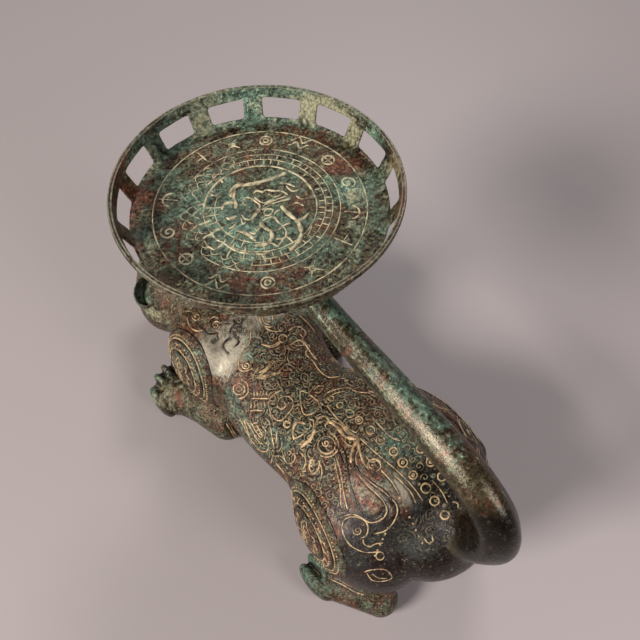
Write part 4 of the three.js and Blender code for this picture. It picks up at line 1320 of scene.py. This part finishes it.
# Rings of the plate as radius, width, and the turns in degrees between which they are kept.
plate_rings = [(74.4, 1.0, 0, 360), (55.8, 0.9, 8, 224), (55.8, 0.75, 232, 292), (50.5, 0.75, 44, 252),
               (45.6, 0.8, 30, 262), (39.4, 0.9, 0, 360), (39.0, 1.7, 150, 330), (31.5, 0.8, 300, 420)]
plate_lines = [plate_circle(radius, start, end) for radius, _, start, end in plate_rings]
plate_widths = [width for _, width, _, _ in plate_rings]
# Walls of the small cells stand between the rings in two rows, and scales fill the rest of the way round.
# Some of both are worn away.
worn_away = np.random.default_rng(5)
cell_turn, cells_from, cells_to = 7.5, 38, 258
for turn in np.arange(0, 360, cell_turn):
    for inner, outer, shift in ((45.6, 50.5, 0), (40.9, 45.6, cell_turn / 2)):
        if worn_away.random() > 0.12 and cells_from < turn < cells_to:
            plate_lines.append(plate_spoke(turn + shift + worn_away.normal(0, 0.5), inner, outer, 5))
            plate_widths.append(0.8 + 0.5 * worn_away.random())
for row, radius in enumerate((41.5, 46.0, 50.5)):
    for turn in np.arange(cells_to + row % 2 * 5, 402, 10):
        if worn_away.random() > 0.22:
            arch = [plate_place(radius + 4.6 * math.cos(math.radians(step * 16)) + worn_away.normal(0, 0.15),
                                math.radians(turn + step)) for step in np.linspace(-5, 5, 9)]
            plate_lines.append(plate_row(arch))
            plate_widths.append(0.4 + 0.4 * worn_away.random())
for turn in np.arange(-40, 66, 12):
    plate_lines.append(plate_spoke(turn, 26, 39, 6))
    plate_widths.append(1.0)
mark_places = [(266, 141), (299, 144), (327, 161), (346, 183), (352, 212), (342, 241), (312, 267), (268, 283),
               (222, 275), (189, 257), (170, 232), (171, 200), (205, 159), (232, 146)]
mark_scale, mark_shift, mark_width = 0.00185, 0.065, 1.6


def turned_mark(kind):
    """One plain sign of the band, as lines in millimetres about its own middle."""
    def arc(radius, steps, sweep=2 * math.pi, drop=0.0):
        return [(radius * math.cos(a), radius * math.sin(a) - drop) for a in np.linspace(0, sweep, steps)]

    circle, small, arch = arc(2.4, 20), arc(1.1, 14), arc(3.2, 16, math.pi, 1)
    curl = [((0.5 + 0.3 * a) * math.cos(a), (0.5 + 0.3 * a) * math.sin(a)) for a in np.linspace(0, 9, 30)]
    bar, post = [(u, 0) for u in (-3.6, -1.2, 1.2, 3.6)], [(0, u) for u in (-3.6, -1.2, 1.2, 3.6)]
    slant, counter = [(u, u) for u in (-2.6, -1, 1, 2.6)], [(u, -u) for u in (-2.6, -1, 1, 2.6)]
    wave = [(x, 1.3 * math.sin(x * 1.3)) for x in np.linspace(-4, 4, 20)]
    second_wave = [(x, y + 3) for x, y in wave]
    return [[circle, small], [bar, post], [curl], [wave, second_wave], [slant, counter, small], [arch, post],
            [circle, bar, post]][kind]


for index, pixel in enumerate(mark_places):
    outward = (on_plate(pixel) - tray_centre) * (1, 1, 0)
    outward /= np.linalg.norm(outward)
    sideways = np.cross((0, 0, 1), outward)
    middle = tray_centre + outward * mark_shift
    for line in turned_mark(index * 3 % 7):
        plate_lines.append(plate_row([middle + (sideways * x + outward * y) * mark_scale for x, y in line]))
        plate_widths.append(mark_width)
cords("plate_lines", plate_lines, plate_widths, 0.00045, inlay_bronze)

medallion = [
    (through(231, 197, 232, 190, 237, 186, 246, 185, 258, 183, 267, 180, 276, 177, 286, 173), 2.3),
    (through(235, 189, 234, 198, 236, 204, 236, 209), 1.9),
    (through(222, 210, 224, 205, 229, 203, 234, 203), 2.0), (through(226, 218, 231, 219, 237, 216), 1.9),
    (through(229, 229, 234, 226, 237, 222), 1.2),
    (through(243, 201, 246, 198, 250, 198, 256, 202, 260, 206, 256, 213, 250, 220), 1.1),
    (through(246, 206, 243, 203, 247, 200), 1.0), (through(261, 209, 257, 214, 252, 220), 0.9),
    (through(242, 215, 245, 219, 250, 220), 1.0), (through(241, 218, 243, 224, 246, 222), 0.9),
    (through(252, 194, 257, 191, 263, 192, 266, 190, 273, 191, 281, 191, 288, 195), 1.2),
    (through(254, 197, 259, 201, 264, 203, 272, 200), 1.0), (through(268, 194, 274, 197, 281, 195), 1.0),
    (through(262, 210, 275, 203, 290, 199), 1.1), (through(264, 205, 273, 201, 286, 196), 0.9),
    (through(264, 212, 267, 209, 273, 210, 270, 215, 265, 215, 264, 212), 0.9),
    (through(281, 206, 286, 211, 291, 216, 297, 221, 301, 229, 301, 236, 297, 244, 290, 251), 2.4),
    (through(309, 213, 303, 219, 297, 221), 1.8), (through(312, 222, 311, 230, 307, 237), 1.0),
    (through(260, 223, 265, 228, 271, 232, 272, 238, 268, 243, 262, 245, 255, 246), 2.3),
    (through(261, 226, 257, 231, 255, 228), 1.1), (through(238, 231, 245, 233, 251, 237, 256, 241), 2.0),
    (through(249, 232, 254, 234, 257, 232), 1.2),
    (through(262, 221, 268, 218, 274, 217, 278, 222, 283, 226), 1.0),
    (through(283, 226, 286, 231, 286, 236, 282, 241, 278, 247), 1.0),
    (through(274, 217, 276, 212, 280, 210), 1.0), (through(283, 226, 287, 224, 291, 223), 1.0),
    (through(283, 226, 278, 230, 272, 232), 1.0), (through(286, 237, 281, 239, 276, 239), 1.0),
    (through(286, 236, 290, 239, 293, 243), 1.0), (through(278, 247, 274, 244, 269, 243), 1.0),
    (through(203, 239, 207, 236, 212, 234, 216, 230, 222, 229), 1.1),
    (through(212, 234, 216, 239, 224, 243), 1.1), (through(214, 250, 219, 247, 224, 243, 226, 239), 1.0),
    (through(224, 243, 232, 249, 244, 253, 254, 254, 263, 254, 271, 251), 1.2),
    (through(232, 249, 234, 245, 236, 243), 1.0), (through(232, 249, 229, 253, 227, 258), 1.0),
    (through(246, 246, 245, 252, 243, 262), 1.1), (through(262, 254, 264, 258, 266, 262), 1.0),
    (through(204, 240, 208, 246, 214, 250), 1.0), (through(190, 231, 200, 225, 212, 220), 1.3),
    (through(205, 187, 213, 181, 220, 179, 223, 183), 1.1), (through(213, 181, 217, 175, 224, 174), 1.0),
    (through(196, 205, 204, 204, 207, 198), 1.1), (through(200, 214, 208, 213, 212, 207), 1.0),
    (through(208, 192, 215, 196, 222, 192), 1.0), (through(286, 186, 292, 191, 299, 190), 1.3),
    (through(291, 205, 297, 203, 304, 206), 1.1), (through(296, 196, 302, 199, 309, 198), 1.0),
    (through(280, 183, 288, 184, 295, 187), 1.2),
]
medallion_lines = [plate_row([on_plate(pixel) for pixel in stroke]) for stroke, _ in medallion]
medallion_widths = [width for _, width in medallion]
cords("medallion_coils", medallion_lines, medallion_widths, 0.00064, inlay_bronze, flatness=0.8)


# Tray rim: an openwork wall cast with the lip. Fourteen windows with soft corners were cut in the wax by hand,
# so no two are quite alike.
lip_rise, rim_flare, lip_band, lip_roll, wall_thickness = 23.3, 11.6, 9.5, 4.4, 2.3
window_count, post_width, window_sill, first_post = 14, 14.2, 1.2, 41.6
wall_foot = floor_radius + ring_width
lip_radius = wall_foot + rim_flare - 0.2
wall_run = rim_flare - lip_roll * 0.4
wall_slope = math.hypot(lip_rise, wall_run)
wall_lean = math.atan2(lip_rise, wall_run)
skin_out = wall_thickness / math.sin(wall_lean)
band_foot = 1 - lip_band / wall_slope


def wall_inner(share, out=0.0):
    """Radius and height of the wall's inner face at a share of its rise, moved outwards."""
    return (wall_foot + wall_run * share + out, lip_rise * share)


rim_profile = [
    (floor_radius - 3.4, -floor_depth), (wall_foot - ring_width * 0.4, -floor_depth),
    (wall_foot + skin_out * 0.2, -floor_depth * 0.4), wall_inner(0.1, skin_out),
    wall_inner(band_foot, skin_out),
    (lip_radius - 0.4, lip_rise - lip_roll), (lip_radius, lip_rise - lip_roll * 0.4),
    (lip_radius - lip_roll * 0.25, lip_rise), (wall_inner(1)[0] - lip_roll * 0.4, lip_rise - 0.5),
    wall_inner(band_foot), wall_inner(0.04), (wall_foot - 1.5, 0), (floor_radius + 0.4, 0),
    (floor_radius + 0.4, -2.1), (floor_radius - 3.4, -2.1),
]
tray_rim = turned_piece("openwork_rim", rim_profile, 168)
hand_cut = np.random.default_rng(11)
corner_round, cutter_reach = 1.7, 8
half_window = math.pi / window_count
up_wall = np.array((0, math.cos(wall_lean), math.sin(wall_lean)))
outward = np.array((0, math.sin(wall_lean), -math.cos(wall_lean)))
cutter = bmesh.new()
for k in range(window_count):
    angle = math.radians(first_post) + (k + 0.5) * 2 * math.pi / window_count
    height = wall_slope - lip_band - window_sill + hand_cut.normal(0, 0.35)
    half_foot = wall_foot * math.tan(half_window) - post_width / 2 + hand_cut.normal(0, 0.5)
    half_head = half_foot + height * math.cos(wall_lean) * math.tan(half_window) + hand_cut.normal(0, 0.5)
    corners = [(-half_foot, window_sill), (half_foot, window_sill + hand_cut.normal(0, 0.3)),
               (half_head, window_sill + height), (-half_head, window_sill + height + hand_cut.normal(0, 0.4))]
    outline = []
    for i in range(4):
        corner, before, after = (np.array(corners[j % 4], float) for j in (i, i - 1, i + 1))
        enter, leave = (corner + (end - corner) / np.linalg.norm(end - corner) * corner_round
                        for end in (before, after))
        outline += [enter, enter * 0.25 + corner * 0.5 + leave * 0.25, leave]
    across, along = math.cos(angle), math.sin(angle)
    turn = np.array(((across, -along, 0), (along, across, 0), (0, 0, 1)))
    layers = []
    for depth in (-cutter_reach, cutter_reach):
        ring_points = [turn @ (np.array((u, wall_foot, 0)) + up_wall * v + outward * depth) for u, v in outline]
        layers.append([cutter.verts.new(in_frame(point + (tray_shift, 0, tray_height)))
                       for point in ring_points])
    cutter.faces.new(layers[0])
    cutter.faces.new(layers[1][::-1])
    for i in range(len(outline)):
        j = (i + 1) % len(outline)
        cutter.faces.new((layers[0][i], layers[0][j], layers[1][j], layers[1][i]))
bmesh.ops.recalc_face_normals(cutter, faces=cutter.faces)
pierced(tray_rim, add_object("window_cutters", mesh_of("window_cutters", cutter)), 0.0008, 4)
# Its colour is brightened as painted light.
rim_bronze = bronze_finish("rim_bronze", verdigris=0.2, rust=0.14, wear_and_sheen=0.06, dust=0.35, zones=True, bump=0.8,
                           light=1.1)
lip_bronze = bronze_finish("lip_bronze", verdigris=0.3, rust=0.2, wear_and_sheen=0.3, dust=0.3, tint="#94866a",
                           tint_share=0.5, bump=0.5)
paint_zones(tray_rim, {
    "green_zone": [
        ((-90, -90, 245), 60, 0.3), ((-16, -96, 245), 40, 0.3), ((-115, 15, 250), 16, 0.3),
        ((-89, 35, 238), 14, 0.25), ((-56, 85, 245), 18, 0.2), ((-68, -77, 240), 16, 0.3),
        ((28, -92, 245), 14, 0.3),
    ],
    "wear_and_sheen_zone": [((60, 60, 250), 50, 0.12), ((76, -40, 240), 12, 0.4)],
    "pale_zone": [
        ((-34, -96, 236), 30, 0.42), ((-84, -70, 236), 20, 0.38), ((20, -88, 232), 14, 0.4),
        ((-100, 50, 244), 22, 0.45), ((-102, -43, 240), 14, 0.6), ((-108, -6, 240), 13, 0.55),
        ((-114, -28, 252), 14, 0.35), ((60, 70, 250), 40, 0.2),
    ],
    "rust_zone": [
        ((70, -40, 252), 40, 0.35), ((40, -80, 252), 30, 0.3), ((-50, -84, 236), 14, 0.6),
        ((-100, 42, 252), 14, 0.55), ((-92, -50, 236), 9, 0.6), ((-77, 72, 252), 16, 0.35),
        ((-96, 12, 236), 10, 0.4),
    ],
    "soot_and_shade_zone": [
        ((-110, 34, 246), 12, 0.35), ((-84, 64, 248), 14, 0.35), ((80, -20, 250), 40, 0.45),
        ((60, -70, 252), 30, 0.35), ((30, 90, 235), 50, 0.3), ((-110, 30, 250), 20, 0.2),
    ],
}, twins=False)
finish_piece(tray_rim, rim_bronze, "tray_rim")
turns, lip_threads = np.radians(np.arange(0, 362, 2)), []
for radius in (lip_radius - 1.1, wall_inner(1)[0] - 1.6):
    places = in_frame([(tray_shift + radius * math.cos(a), radius * math.sin(a), tray_height + lip_rise - 0.5)
                       for a in turns])
    lip_threads.append(facing_up(places))
cords("lip_threads", lip_threads, [1.0, 0.9], 0.0006, lip_bronze)


# Face, under the tray: bulging eyes with lids, fangs in the slit of the mouth, and scrolls on cheeks and brow.
# All of it was built up in wax on the head and cast with it.
eye_bronze = bronze_finish("eye_bronze", verdigris=0.2, rust=0.1, wear_and_sheen=0.25, dust=0.1, bump=0.3)


def near_skin(points):
    """Runs on the skin nearest to points in the beast's frame."""
    hits = []
    for point in smooth_path(points, 26):
        place, normal, _, _ = skin_tree.find_nearest(Vector(in_frame(point)))
        hits.append((np.array(place), np.array(normal)))
    return split_runs(hits)


def face_curl(side, y, z, reach, turns, start=0):
    """Curl beside the cheek, about a point in the beast's frame."""
    rows = zip(np.linspace(1, 1 + reach, 9), np.linspace(start, start + turns * 2 * math.pi, 9))
    return [(32 * side, y + radius * math.cos(angle), z + radius * math.sin(angle)) for radius, angle in rows]


eye_at, eye_radius, lid_reaches = (26, -131, 99), 7.8, (9.2, 11.2)
cheek_curls = ((-112, 74, 9, 1.6), (-92, 88, 8, 1.5, 2.0), (-98, 66, 7, 1.4, 4.0), (-76, 72, 8, 1.6, 1.0))
fang_places, fang_length, fang_root, fang_tip = ((13, 1), (19, 1), (12, -1)), 0.0088, 0.0021, 0.0004
face_lines = []
for word, side in both_sides:
    eye_x, eye_y, eye_z = on_side([eye_at], side)[0]
    eyeball = round_form(f"eye_{word}", (eye_x, eye_y, eye_z), [eye_radius] * 3, segments=32)
    finish_piece(eyeball, eye_bronze)
    for reach in lid_reaches:
        face_lines += near_skin([(eye_x + reach * math.cos(a), eye_y - 8, eye_z + reach * 0.86 * math.sin(a))
                                 for a in np.linspace(0, 6.1, 12)])
    for curl in cheek_curls:
        face_lines += near_skin(face_curl(side, *curl))
    for lift in (0, 4.5):
        whisker = [(18, -158, 74 + lift), (26, -150, 75 + lift), (33, -138, 78 + lift)]
        brow = [(6, -126, 116 + lift), (18, -121, 121), (32, -112, 116 - lift), (40, -104, 106 - lift)]
        face_lines += near_skin(on_side(whisker, side)) + near_skin(on_side(brow, side))
    for reach, fang in fang_places:
        point = Vector(in_frame((reach * side, -158 + reach * 0.25, mouth_height + 5.0 * fang)))
        hit, outward, _, _ = skin_tree.find_nearest(point)
        tooth = bmesh.new()
        bmesh.ops.create_cone(tooth, cap_ends=True, segments=20, radius1=fang_root, radius2=fang_tip,
                              depth=fang_length)
        mesh = mesh_of("fang", tooth)
        mesh.transform(Matrix.Translation(hit + outward * 0.0012 + Vector((0, 0, -0.004 * fang)))
                       @ Matrix.Rotation(math.pi if fang > 0 else 0, 4, "X"))
        row = "upper" if fang > 0 else "lower"
        finish_piece(add_object(f"fang_{word}_{reach}_{row}", mesh), eye_bronze)
for height in (122, 126):
    face_lines += near_skin([(-16, -96, height), (0, -104, height + 4), (16, -96, height)])
cords("face_scrolls", face_lines, [1.0] * len(face_lines), 0.0006, ground_bronze)
